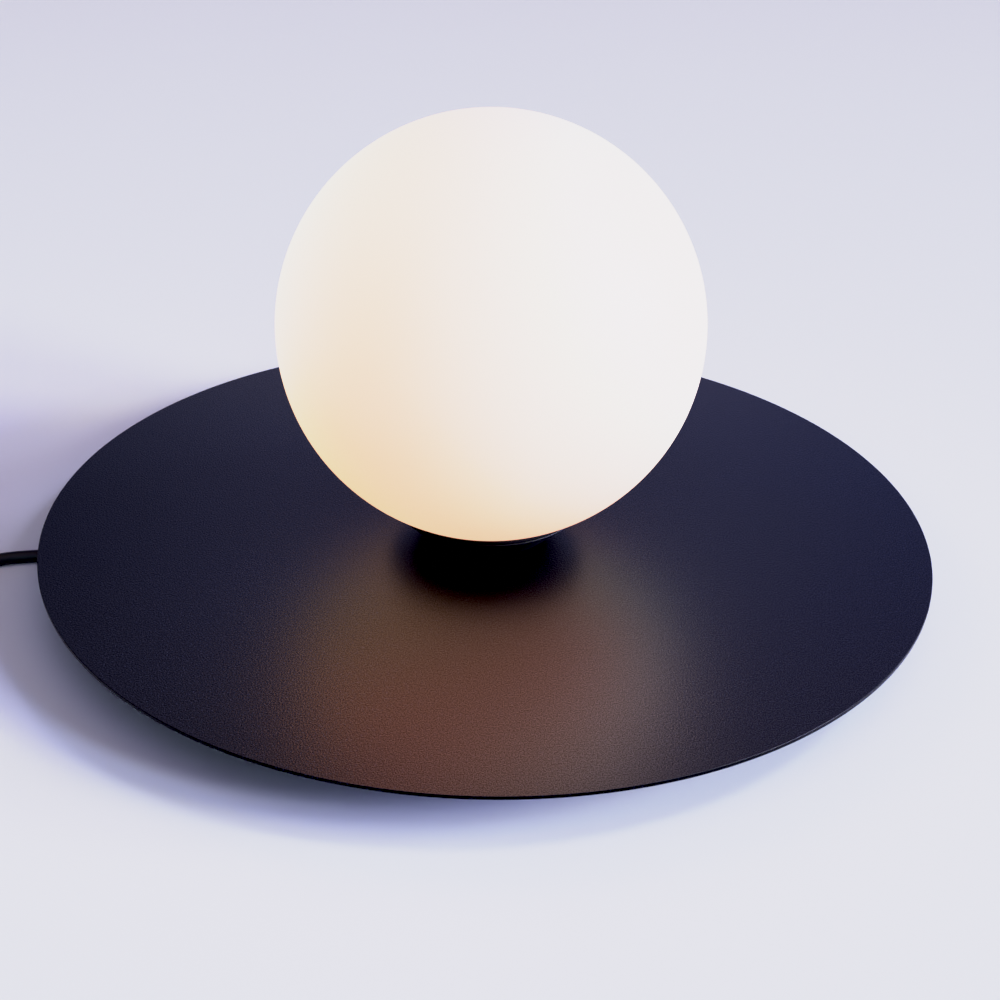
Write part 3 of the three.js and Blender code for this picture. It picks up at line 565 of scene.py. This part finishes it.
turn_r, turn_x, turn_y = (LANE - SW_X) / 2, (LANE + SW_X) / 2, -104.0
rise = [0, 0, 0, 0, 0, 0.2, 0.8, 1.9, 3.3]
line_1 = [
    (-102.6, 0, 10.2), (-106, 0, 10.1), (-112, 0.2, 9.2), (-121, 0.7, 6.9), (-130, 1.3, 4.7), (-140, 2.1, 3.0),
    (-150, 2.8, LIE), (-160, 3.0, LIE), (-170, 2.6, LIE), (-178, 1.6, LIE), (-186, 0.0, LIE), (-192, -2.0, LIE),
    (-198.5, -5.8, LIE), (-204, -11.8, LIE), (-207.6, -19.5, LIE), (LANE - 0.2, -28, LIE),
    (LANE, -45, LIE), (LANE, -65, LIE), (LANE, -85, LIE),
    *[(x, y, LIE + rise[i]) for i, (x, y) in enumerate(arc(turn_x, turn_y, turn_r, 0, -180, 8))],
    (SW_X, -97, 7.9), (SW_X, -91, 8.8), (SW_X, SW_Y - 26, SPLIT),
]

# spare flex: four flat layers wound on each other, in, out, in and out again, seven turns in all
R_OUT, PITCH, LAYER, Z_LOW, RISE_DEG, TURNS = 33.85, 5.05, 5.0, 3.8, 45.0, 7
layer_deg = (360 * TURNS - 3 * RISE_DEG) / 4
R_IN = R_OUT - PITCH * layer_deg / 360
TIE_DEG = 200.0


def coil_point(deg):
    a, k = deg, 0
    while k < 3 and a > layer_deg + RISE_DEG:
        a -= layer_deg + RISE_DEG
        k += 1
    if a <= layer_deg:
        f = a / layer_deg
        r = R_OUT + (R_IN - R_OUT) * (f if k % 2 == 0 else 1 - f)
        z = Z_LOW + LAYER * k
    else:
        r = R_IN if k % 2 == 0 else R_OUT
        z = Z_LOW + LAYER * (k + smoothstep((a - layer_deg) / RISE_DEG))
    off = abs(((deg - TIE_DEG + 180) % 360) - 180)  # it rests on the tie there, and on the table elsewhere
    z -= 1.2 * smoothstep((off - 18) / 45)
    t = math.radians(deg)
    return (COIL_X + r * math.cos(t), COIL_Y + r * math.sin(t), z)


east = COIL_X + R_OUT
line_2 = [
    (SW_X, SW_Y + 26, SPLIT), (SW_X, SW_Y + 35, 8.7), (SW_X + 1.2, -12, 7.2), (SW_X + 4.6, -3, 5.1), (SW_X + 9.6, 4.5, 3.6),
    (east - 4.2, 11.5, 2.9), (east - 1.4, 18, 2.7), (east - 0.4, 24, 2.62), (east - 0.06, 30, 2.6),
    *[coil_point(15.0 * i) for i in range(24 * TURNS + 1)],
    (east + 0.05, 46, 17.6), (east - 0.4, 53, 17.3), (east - 2.2, 60, 16.0), (east - 6.0, 68, 13.0),
    (east - 11.6, 76, 9.4), (east - 18.2, 83, 7.3), (PLUG_X + 1.9, PLUG_Y - 6, 6.9), (PLUG_X + 0.1, PLUG_Y - 2.6, PLUG_Z), (PLUG_X, PLUG_Y + 0.6, PLUG_Z),
]


def flex(name, points):
    c = bpy.data.curves.new(name, "CURVE")
    c.dimensions = "3D"
    c.bevel_depth = 1.0  # times each point's radius, which also pads the curve's own box
    c.bevel_resolution = 6
    c.use_fill_caps = True
    c.resolution_u = 6
    s = c.splines.new("BEZIER")
    s.bezier_points.add(len(points) - 1)
    for p, co in zip(s.bezier_points, points):
        p.co = Vector(co) * MM
        p.radius = CORD_R * MM
        p.handle_left_type = p.handle_right_type = "AUTO"
    return put(name, c, "base")


flex_1 = dress(flex("flex_lamp_to_switch", line_1), "flex")
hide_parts("cord_to_switch")
flex_2 = dress(flex("flex_switch_to_plug", line_2), "flex")
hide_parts("cord_from_switch", "cord_coil", "cord_to_plug")

# ---------------------------------------------------------------- disc, cup, gasket and globe
DISC_R, DISC_LOW, DISC_TOP = 172.5, 18.5, 20.0
rim = rounded(
    [(5.3, DISC_LOW), (DISC_R, DISC_LOW), (DISC_R, DISC_TOP), (5.3, DISC_TOP)],
    [0.2, 0.25, 0.22, 0.2], 5,
)
disc = put("disc", turned("disc", rim, 288, angle=50), "base")
dress(disc, "disc")
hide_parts("disc_plate")

CUP_Z, FLAT, FILLET, RIM_R, RIM_Z, CUP_T = 20.1, 17.3, 12.0, 37.35, 34.5, 1.2
d_x, d_z = RIM_R - FLAT, RIM_Z - (CUP_Z + FILLET)
tangent = math.degrees(math.atan2(d_z, d_x) - math.acos(FILLET / math.hypot(d_x, d_z)))
cup_out = arc(FLAT, CUP_Z + FILLET, FILLET, -90, tangent, 20)
cup_in = arc(FLAT, CUP_Z + FILLET, FILLET - CUP_T, -90, tangent, 20)
(o_x, o_z), (i_x, i_z) = cup_out[-1], cup_in[-1]
slope = (RIM_R - o_x) / (RIM_Z - o_z)
rim_in = i_x + (RIM_Z - i_z) * slope
lip = rounded([(o_x, o_z), (RIM_R, RIM_Z), (rim_in, RIM_Z), (i_x, i_z)], [0, 0.45, 0.45, 0], 4)
cup = put("cup", turned("cup", [(5.3, CUP_Z), *cup_out[:-1], *lip, *reversed(cup_in[:-1]), (5.3, CUP_Z + CUP_T)], 160, angle=50), "base")
dress(cup, "cup")
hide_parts("holder_cup")

gasket = put(
    "gasket",
    turned("gasket", rounded([(36.9, 34.8), (36.9, 36.1), (32.6, 34.1), (32.4, 32.5), (34.9, 34.8)], [0.3, 0.35, 0.3, 0.3, 0.3], 3), 160),
    "base",
)
dress(gasket, "gasket")
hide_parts("cup_gasket")

WALL, NECK_R, NECK_IN, NECK_Z = 3.0, 24.5, 21.5, 26.5
stop = -math.degrees(math.acos(26.4 / GLOBE_R))
sphere = arc(0, GLOBE_Z, GLOBE_R, 90, stop, 84)
corner = (NECK_R, GLOBE_Z - math.sqrt(GLOBE_R**2 - NECK_R**2))
p0, p2 = sphere[-1], (NECK_R, corner[1] - 1.6)
throat = [
    tuple((1 - t) ** 2 * a + 2 * t * (1 - t) * b + t * t * c for a, b, c in zip(p0, corner, p2)) for t in (0.2, 0.4, 0.6, 0.8, 1.0)
]
in_stop = -math.degrees(math.acos(NECK_IN / (GLOBE_R - WALL)))
inside = arc(0, GLOBE_Z, GLOBE_R - WALL, in_stop, 90, 48)
mouth = rounded([p2, (NECK_R, NECK_Z), (NECK_IN, NECK_Z), inside[0]], [0, 1.3, 1.3, 0], 5)
sphere[0], inside[-1] = (0, GLOBE_Z + GLOBE_R), (0, GLOBE_Z + GLOBE_R - WALL)
globe = put("globe", turned("globe", [*sphere, *throat[:-1], *mouth, *inside[1:]], 160, angle=60), "globe")
dress(globe, "opal")
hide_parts("opal_globe")

# ---------------------------------------------------------------- bulb
bulb = put("bulb_glass", turned("bulb_glass", [(0, 59.3), *rounded([(8.0, 59.3), (8.2, 60.5), (8.2, 90.8)], [0.4, 0.6, 0], 3)[1:], *arc(0, 90.8, 8.2, 3, 87, 16)[:-1], (0, 99.0)], 96), "bulb")
dress(bulb, "bulb")
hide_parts("bulb_cover")
foot_flange = turned("bulb_cap", [(0, 54), *rounded([(6.6, 54), (8, 56), (8, 59)], [0.5, 0.7, 0.5], 4), (0, 59)], 80)
blade = pushed("bulb_blade", rounded([(-7.2, -3.7), (7.2, -3.7), (7.2, 3.7), (-7.2, 3.7)], 1.1, 4), 47.4, 56, XY, edge=0.4)
cap = put("bulb_cap", boolean(foot_flange, blade, "UNION"), "bulb")
dress(cap, "ceramic")
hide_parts("bulb_base")

# ---------------------------------------------------------------- feet
for i, deg in enumerate((45, 135, 225, 315)):
    t = math.radians(deg)
    m = Matrix.Translation((60 * math.cos(t), 60 * math.sin(t), 0))
    foot = put(
        f"rubber_foot_{i + 1}",
        turned(f"rubber_foot_{i + 1}", [(0, 0.35), (2.4, 0.35), (3.0, 0.0), *rounded([(3.0, 0), (7.3, 0), (8, 0.9), (8, 2.9), (7.2, 2.9)], [0, 0.5, 0.6, 0.2, 0], 4)[1:], (0, 2.9)], 64, m),
        "base",
    )
    dress(foot, "rubber")
    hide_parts(f"foot_{i + 1}")

# ---------------------------------------------------------------- strain relief, ribbed
GLAND_Z = 10.2
relief_profile = [(0, 70.8), *rounded([(5.5, 70.8), (5.5, 73.2), (4.7, 73.2), (4.7, 75.4), (6.2, 75.4), (6.2, 77.0), (5.3, 77.4)], [0.4, 0.15, 0.1, 0.1, 0.35, 0.6, 0.1], 3)]
start, end, ribs = 78.2, 101.4, 7
pitch = (end - start) / ribs
for i in range(ribs):
    for f, dr in ((0.0, 0.0), (0.08, -0.28), (0.16, -0.62), (0.30, -0.70), (0.38, -0.55), (0.46, -0.16), (0.54, 0.0), (0.92, 0.0)):
        h = start + pitch * (i + f)
        relief_profile.append((5.25 - (5.25 - 3.75) * (h - 77.4) / (103 - 77.4) + dr, h))
relief_profile += [(3.72, 102.0), *arc(3.2, 102.5, 0.5, 0, 90, 4), (0, 103.0)]
relief = put(
    "flex_relief",
    turned("flex_relief", relief_profile, 64, Matrix.Translation((0, 0, GLAND_Z)) @ Matrix.Rotation(-math.pi / 2, 4, "Y"), angle=40),
    "base",
)
dress(relief, "rubber")
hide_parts("strain_relief")

# ---------------------------------------------------------------- switch shells, rocker
HALF, WIDE, HIGH = 32.0, 13.0, 19.0


def along(y, table):
    """A value that runs smoothly through a table of (distance, value) pairs."""
    y = abs(y)
    for (a, va), (b, vb) in zip(table, table[1:]):
        if y <= b:
            return va + (vb - va) * (y - a) / (b - a)
    return table[-1][1]


def eased(y, table):
    """The same with the corners of the table eased out."""
    total = 0.0
    for k in range(-4, 5):
        total += along(min(abs(y + k * 0.45), HALF), table)
    return total / 9


wide_t = [(0, 12.95), (10, 12.8), (16, 12.3), (22, 11.0), (27, 8.9), (30.6, 6.5), (32, 5.5)]
top_t = [(0, 19.0), (14.5, 19.0), (20, 18.1), (25, 16.7), (29, 15.2), (31.2, 14.2), (32, 13.7)]
low_t = [(0, 0.0), (23, 0.0), (27, 1.1), (30, 2.6), (31.4, 3.6), (32, 4.3)]


def switch_ring(y, grow=0.0):
    w, top, low = eased(y, wide_t) - grow, eased(y, top_t) - grow, eased(y, low_t) + grow
    mid = SPLIT
    pts = []
    for cx, cy in superellipse(1, 1, 3.6, 48):
        pts.append((SW_X + w * cx, SW_Y + y, mid + (top - mid) * cy if cy > 0 else mid + (mid - low) * cy))
    return pts


stations = [-32, -31.7, -31.2, -30.4, -29.4, -28, -26, -24, -22, -20, -17.5, -15, -12.5, -10, -7, -3.5]
stations = stations + [0] + [-v for v in reversed(stations)]
rings = [switch_ring(y, {32: 0.55, 31.7: 0.2}.get(abs(y), 0.0)) for y in stations]
shell = loft("switch_body", rings, 40)
gap = 0.15


def slab(name, z0, z1, spread=(22, 40)):
    a, b = spread
    return pushed(name, [(SW_X - a, SW_Y - b), (SW_X + a, SW_Y - b), (SW_X + a, SW_Y + b), (SW_X - a, SW_Y + b)], z0, z1, XY)


lower = boolean(shell, slab("half", -2, SPLIT - gap), "INTERSECT")
posts = ((7.0, 20.0), (-7.0, -20.0))
for x, y in posts:
    lower = boolean(lower, turned("well", [(0, -1), (2.5, -1), (2.5, 2.1), (1.4, 2.1), (1.4, 12), (0, 12)], 40, Matrix.Translation((SW_X + x, SW_Y + y, 0))))
lower_shell = put("switch_lower", lower, "base")
dress(lower_shell, "plastic")
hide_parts("switch_shell_lower")

upper = boolean(shell, slab("half", SPLIT + gap, 30), "INTERSECT")
bezel = pushed(
    "bezel",
    rounded([(SW_X - 7.6, SW_Y - 11.6), (SW_X + 7.6, SW_Y - 11.6), (SW_X + 7.6, SW_Y + 11.6), (SW_X - 7.6, SW_Y + 11.6)], 2.0, 5),
    15.0, 19.8, XY, edge=0.45, steps=4,
)
upper = boolean(upper, bezel, "UNION")
opening = pushed(
    "opening",
    rounded([(SW_X - 6.0, SW_Y - 10.1), (SW_X + 6.0, SW_Y - 10.1), (SW_X + 6.0, SW_Y + 10.1), (SW_X - 6.0, SW_Y + 10.1)], 0.9, 4),
    10.0, 24.0, XY,
)
upper = boolean(upper, opening)
upper_shell = put("switch_upper", upper, "base")
dress(upper_shell, "plastic")
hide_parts("switch_shell_upper")

tilt = Matrix.Translation((SW_X, SW_Y, 15.0)) @ Matrix.Rotation(math.radians(-8), 4, "X")
side = rounded(
    [(-9.0, 0.4), (-5, -1.2), (5, -1.2), (9.0, 0.4), (8.7, 5.4), (6.2, 4.72), (3.2, 4.24), (0, 4.07), (-3.2, 4.24), (-6.2, 4.72), (-8.7, 5.4)],
    [0.3, 0.8, 0.8, 0.3, 0.55, 4, 4, 4, 4, 4, 0.55], 4,
)
rocker_mesh = pushed("rocker", side, -5.6, 5.6, YZ, tilt, edge=0.4, steps=4, angle=30)
rocker_piece = put("rocker", rocker_mesh, "rocker")
dress(rocker_piece, "rocker")
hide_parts("switch_rocker")

# ---------------------------------------------------------------- plug
plug_at = Matrix.Translation((PLUG_X, PLUG_Y, PLUG_Z))
sections = []


def plug_ring(y, w, h, power):
    sections.append([(x, y, z) for x, z in superellipse(w, h, power, 72)])


def relief_r(y):
    return 3.6 + (5.2 - 3.6) * y / 21


plug_ring(0.0, 2.9, 2.9, 2)
plug_ring(0.15, 3.25, 3.25, 2)
plug_ring(0.6, 3.55, 3.55, 2)
y = 2.2
while y < 18.5:
    for f, dr in ((0.0, 0.0), (0.25, -0.5), (0.5, -0.68), (0.75, -0.72), (1.0, -0.6), (1.25, -0.12), (1.45, 0.0)):
        plug_ring(y + f, relief_r(y + f) + dr, relief_r(y + f) + dr, 2)
    y += 2.75
for y, w, h, power in (
    (20.2, 5.15, 5.15, 2), (21.4, 5.6, 5.35, 2.1), (23.0, 6.9, 5.7, 2.4), (25.0, 8.9, 6.05, 2.8), (27.5, 11.3, 6.38, 3.2), (30.0, 13.4, 6.6, 3.5),
    (33.0, 15.6, 6.77, 3.8), (36.0, 17.1, 6.84, 4.1), (39.0, 17.6, 6.85, 4.3), (43.0, 17.65, 6.85, 4.4), (47.0, 17.6, 6.85, 4.4), (50.0, 17.15, 6.85, 4.3),
    (52.5, 16.1, 6.84, 4.1), (54.6, 14.9, 6.78, 4.0), (56.0, 14.0, 6.65, 3.9), (56.6, 13.5, 6.4, 3.8), (56.9, 13.1, 6.05, 3.8), (57.0, 12.6, 5.6, 3.8),
):
    plug_ring(y, w, h, power)
plug = put("plug", loft("plug", sections, 50, plug_at), "base")
dress(plug, "plastic")
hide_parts("plug_body")

# ---------------------------------------------------------------- tie round the coil
RIN, ROUT, COIL_HIGH = 22.7, 36.6, 21.4
tie_at = Matrix.Translation((COIL_X, COIL_Y, 0)) @ Matrix.Rotation(math.radians(TIE_DEG), 4, "Z")


def band(name, r0, r1, z0, z1, t, corner, half_width):
    outer = rounded([(r0, z0), (r1, z0), (r1, z1), (r0, z1)], corner, 6)
    inner = rounded([(r0 + t, z0 + t), (r1 - t, z0 + t), (r1 - t, z1 - t), (r0 + t, z1 - t)], max(0.5, corner - t), 6)
    n = len(outer)
    verts, faces = [], []
    bev = 0.22
    for src, other, side in ((outer, inner, 1), (inner, outer, -1)):
        for w, pull in ((-half_width, bev), (-half_width + bev, 0), (half_width - bev, 0), (half_width, bev)):
            for p, q in zip(src, other):
                d = (Vector(q) - Vector(p)).normalized() * pull
                verts.append((tie_at @ Vector((p[0] + d.x, w, p[1] + d.y))) * MM)
    for base in (0, 4 * n):
        for k in range(3):
            for i in range(n):
                a, b = base + k * n + i, base + k * n + (i + 1) % n
                faces.append((a, b, b + n, a + n))
    for k in (0, 3):
        for i in range(n):
            a, b = k * n + i, k * n + (i + 1) % n
            faces.append((a, b, b + 4 * n, a + 4 * n))
    return mesh_from(name, verts, faces, 40)


tie_mesh = band("tie_band", RIN - 2.0, ROUT + 0.9, 0.0, COIL_HIGH + 1.3, 1.0, 4.2, 4.3)
flap = pushed(
    "flap", rounded([(-4.1, 5.0), (4.1, 5.0), (4.1, 17.2), (-4.1, 17.2)], [1.6, 1.6, 0.3, 0.3], 5), ROUT + 0.7, ROUT + 1.45,
    ((0, 1, 0), (0, 0, 1), (1, 0, 0)), tie_at, edge=0.2, steps=2,
)
tie = put("coil_tie", boolean(tie_mesh, flap, "UNION"), "base")
dress(tie, "strap")
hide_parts("cord_tie")

# ---------------------------------------------------------------- CAD pieces that stay: finish only
KEPT = {
    "pan": ["base_pan", "bottom_cover"],
    "iron": ["ballast_plate"],
    "spring": ["spring_spider"],
    "zinc": ["holder_bracket", "holder_screw_1", "holder_screw_2", "nipple_tube", "nipple_nut_upper", "nipple_nut_lower", "lock_washer",
             "cover_screw_1", "cover_screw_2", "cover_screw_3", "terminal_screw_1", "terminal_screw_2", "terminal_screw_3", "terminal_screw_4",
             "switch_screw_1", "switch_screw_2", "bulb_pin_1", "bulb_pin_2"],
    "brass": ["holder_contact_1", "holder_contact_2", "switch_bridge", "switch_terminal_1", "switch_terminal_2"],
    "ceramic": ["lampholder"],
    "nylon": ["terminal_block"],
    "brown": ["mains_wire_live", "lamp_wire_live", "switch_wire_live_in", "switch_wire_live_out"],
    "blue": ["mains_wire_neutral", "lamp_wire_neutral", "switch_wire_neutral"],
    "flex": ["cord_inner_end"],
    "pins": ["plug_pin_1", "plug_pin_2"],
}
for key, names in KEPT.items():
    for n in names:
        smooth(nodes[n].data, 32)
        dress(nodes[n], key)

# ---------------------------------------------------------------- floor and light
k = Nodes("table_top")
broad, fine = k.noise(3.0, 3.0, 0.5), k.noise(420.0, 2.0, 0.5)
# painted light falloff: the table is paler and bluer at the front and darker and yellower towards the back, standing in
# for the light falling off across it
along_y = k.math("MULTIPLY_ADD", k.xyz()[0], -0.25, k.xyz()[1])
depth = k.math("ADD", k.span(along_y, -0.35, 0.85, 0.0, 0.94), k.span(broad, 0.3, 0.7, 0.0, 0.06))
k.link(k.mix(depth, (0.837, 0.855, 0.913), (0.649, 0.625, 0.563)), k.p.inputs["Base Color"])
k.link(k.span(k.math("ADD", broad, k.math("MULTIPLY", fine, 0.4)), 0.4, 1.0, 0.52, 0.62), k.p.inputs["Roughness"])
k.link(k.bump(fine, 0.05, 0.0001), k.p.inputs["Normal"])
floor_mesh = mesh_from("table_top", [(-15, -15, 0), (15, -15, 0), (15, 15, 0), (-15, 15, 0)], [(0, 1, 2, 3)])
floor = bpy.data.objects.new("table_top", floor_mesh)
scene.collection.objects.link(floor)
floor_mesh.materials.append(k.m)

world = bpy.data.worlds.new("studio")
scene.world = world
world.use_nodes = True
wt = world.node_tree
wt.nodes.clear()
w_out = wt.nodes.new("ShaderNodeOutputWorld")
w_bg = wt.nodes.new("ShaderNodeBackground")
w_bg.name = "ambient"
w_dir = wt.nodes.new("ShaderNodeTexCoord").outputs["Generated"]


def direction(az, el):
    """Azimuth from +X towards +Y, elevation above the table."""
    a, e = math.radians(az), math.radians(el)
    return Vector((math.cos(a) * math.cos(e), math.sin(a) * math.cos(e), math.sin(e)))


def soft_patch(az, el, power, color):
    """Light from a broad patch of the surroundings, fading out from its middle."""
    dot = wt.nodes.new("ShaderNodeVectorMath")
    dot.operation = "DOT_PRODUCT"
    dot.inputs[1].default_value = direction(az, el)
    wt.links.new(w_dir, dot.inputs[0])
    value = dot.outputs["Value"]
    for op, b in (("MAXIMUM", 0.0), ("POWER", power)):
        n = wt.nodes.new("ShaderNodeMath")
        n.operation = op
        n.inputs[1].default_value = b
        wt.links.new(value, n.inputs[0])
        value = n.outputs[0]
    tint = wt.nodes.new("ShaderNodeVectorMath")
    tint.operation = "SCALE"
    tint.inputs[0].default_value = color
    wt.links.new(value, tint.inputs["Scale"])
    return tint.outputs[0]


total = None
for patch in (
    (0, 90, 4, (0.345, 0.335, 0.381)), (270, 55, 6, (0.580, 0.530, 1.030)), (0, 55, 6, (0.443, 0.280, 0.040)), (90, 12, 16, (0.010, 0.090, 0.155)),
    (90, 30, 16, (0.212, 0.190, 0.385)), (60, 20, 6, (0.000, 0.020, 0.210)), (90, 2, 40, (0.553, 0.372, 0.410)),
):
    out = soft_patch(*patch)
    if total is not None:
        add = wt.nodes.new("ShaderNodeVectorMath")
        add.operation = "ADD"
        wt.links.new(total, add.inputs[0])
        wt.links.new(out, add.inputs[1])
        out = add.outputs[0]
    total = out
wt.links.new(total, w_bg.inputs["Color"])
w_bg.inputs["Strength"].default_value = 1.0
w_seen = wt.nodes.new("ShaderNodeBackground")
w_seen.inputs["Color"].default_value = (0.70, 0.71, 0.76, 1)
w_mix = wt.nodes.new("ShaderNodeMixShader")
w_path = wt.nodes.new("ShaderNodeLightPath")
wt.links.new(w_path.outputs["Is Camera Ray"], w_mix.inputs[0])
wt.links.new(w_bg.outputs[0], w_mix.inputs[1])
wt.links.new(w_seen.outputs[0], w_mix.inputs[2])
wt.links.new(w_mix.outputs[0], w_out.inputs[0])


def far_light(name, az, el, spread, energy, color):
    """A soft light so far off that the whole table gets the same of it."""
    d = bpy.data.lights.new(name, "SUN")
    d.angle = math.radians(spread)
    d.energy, d.color = energy, color
    o = bpy.data.objects.new(name, d)
    scene.collection.objects.link(o)
    o.rotation_euler = direction(az, el).to_track_quat("Z", "Y").to_euler()
    return o


# one wide window-like light from the right, made of soft parts, and a little of it from the front
for i, (az, el, power) in enumerate((
    (-8, 11, (1.069, 1.008, 2.906)), (4, 11, (1.159, 1.236, 2.578)), (-30, 24, (1.125, 1.266, 1.795)), (-14, 24, (1.546, 1.586, 0.965)),
    (-2, 24, (0.785, 0.833, 0.980)), (-85, 24, (0.141, 0.223, 0.233)), (-24, 36, (0.059, 0.149, 0.460)), (10, 45, (0.624, 0.675, 1.149)),
)):
    far_light(f"window_{i + 1}", az, el, 11, max(power), tuple(c / max(power) for c in power))
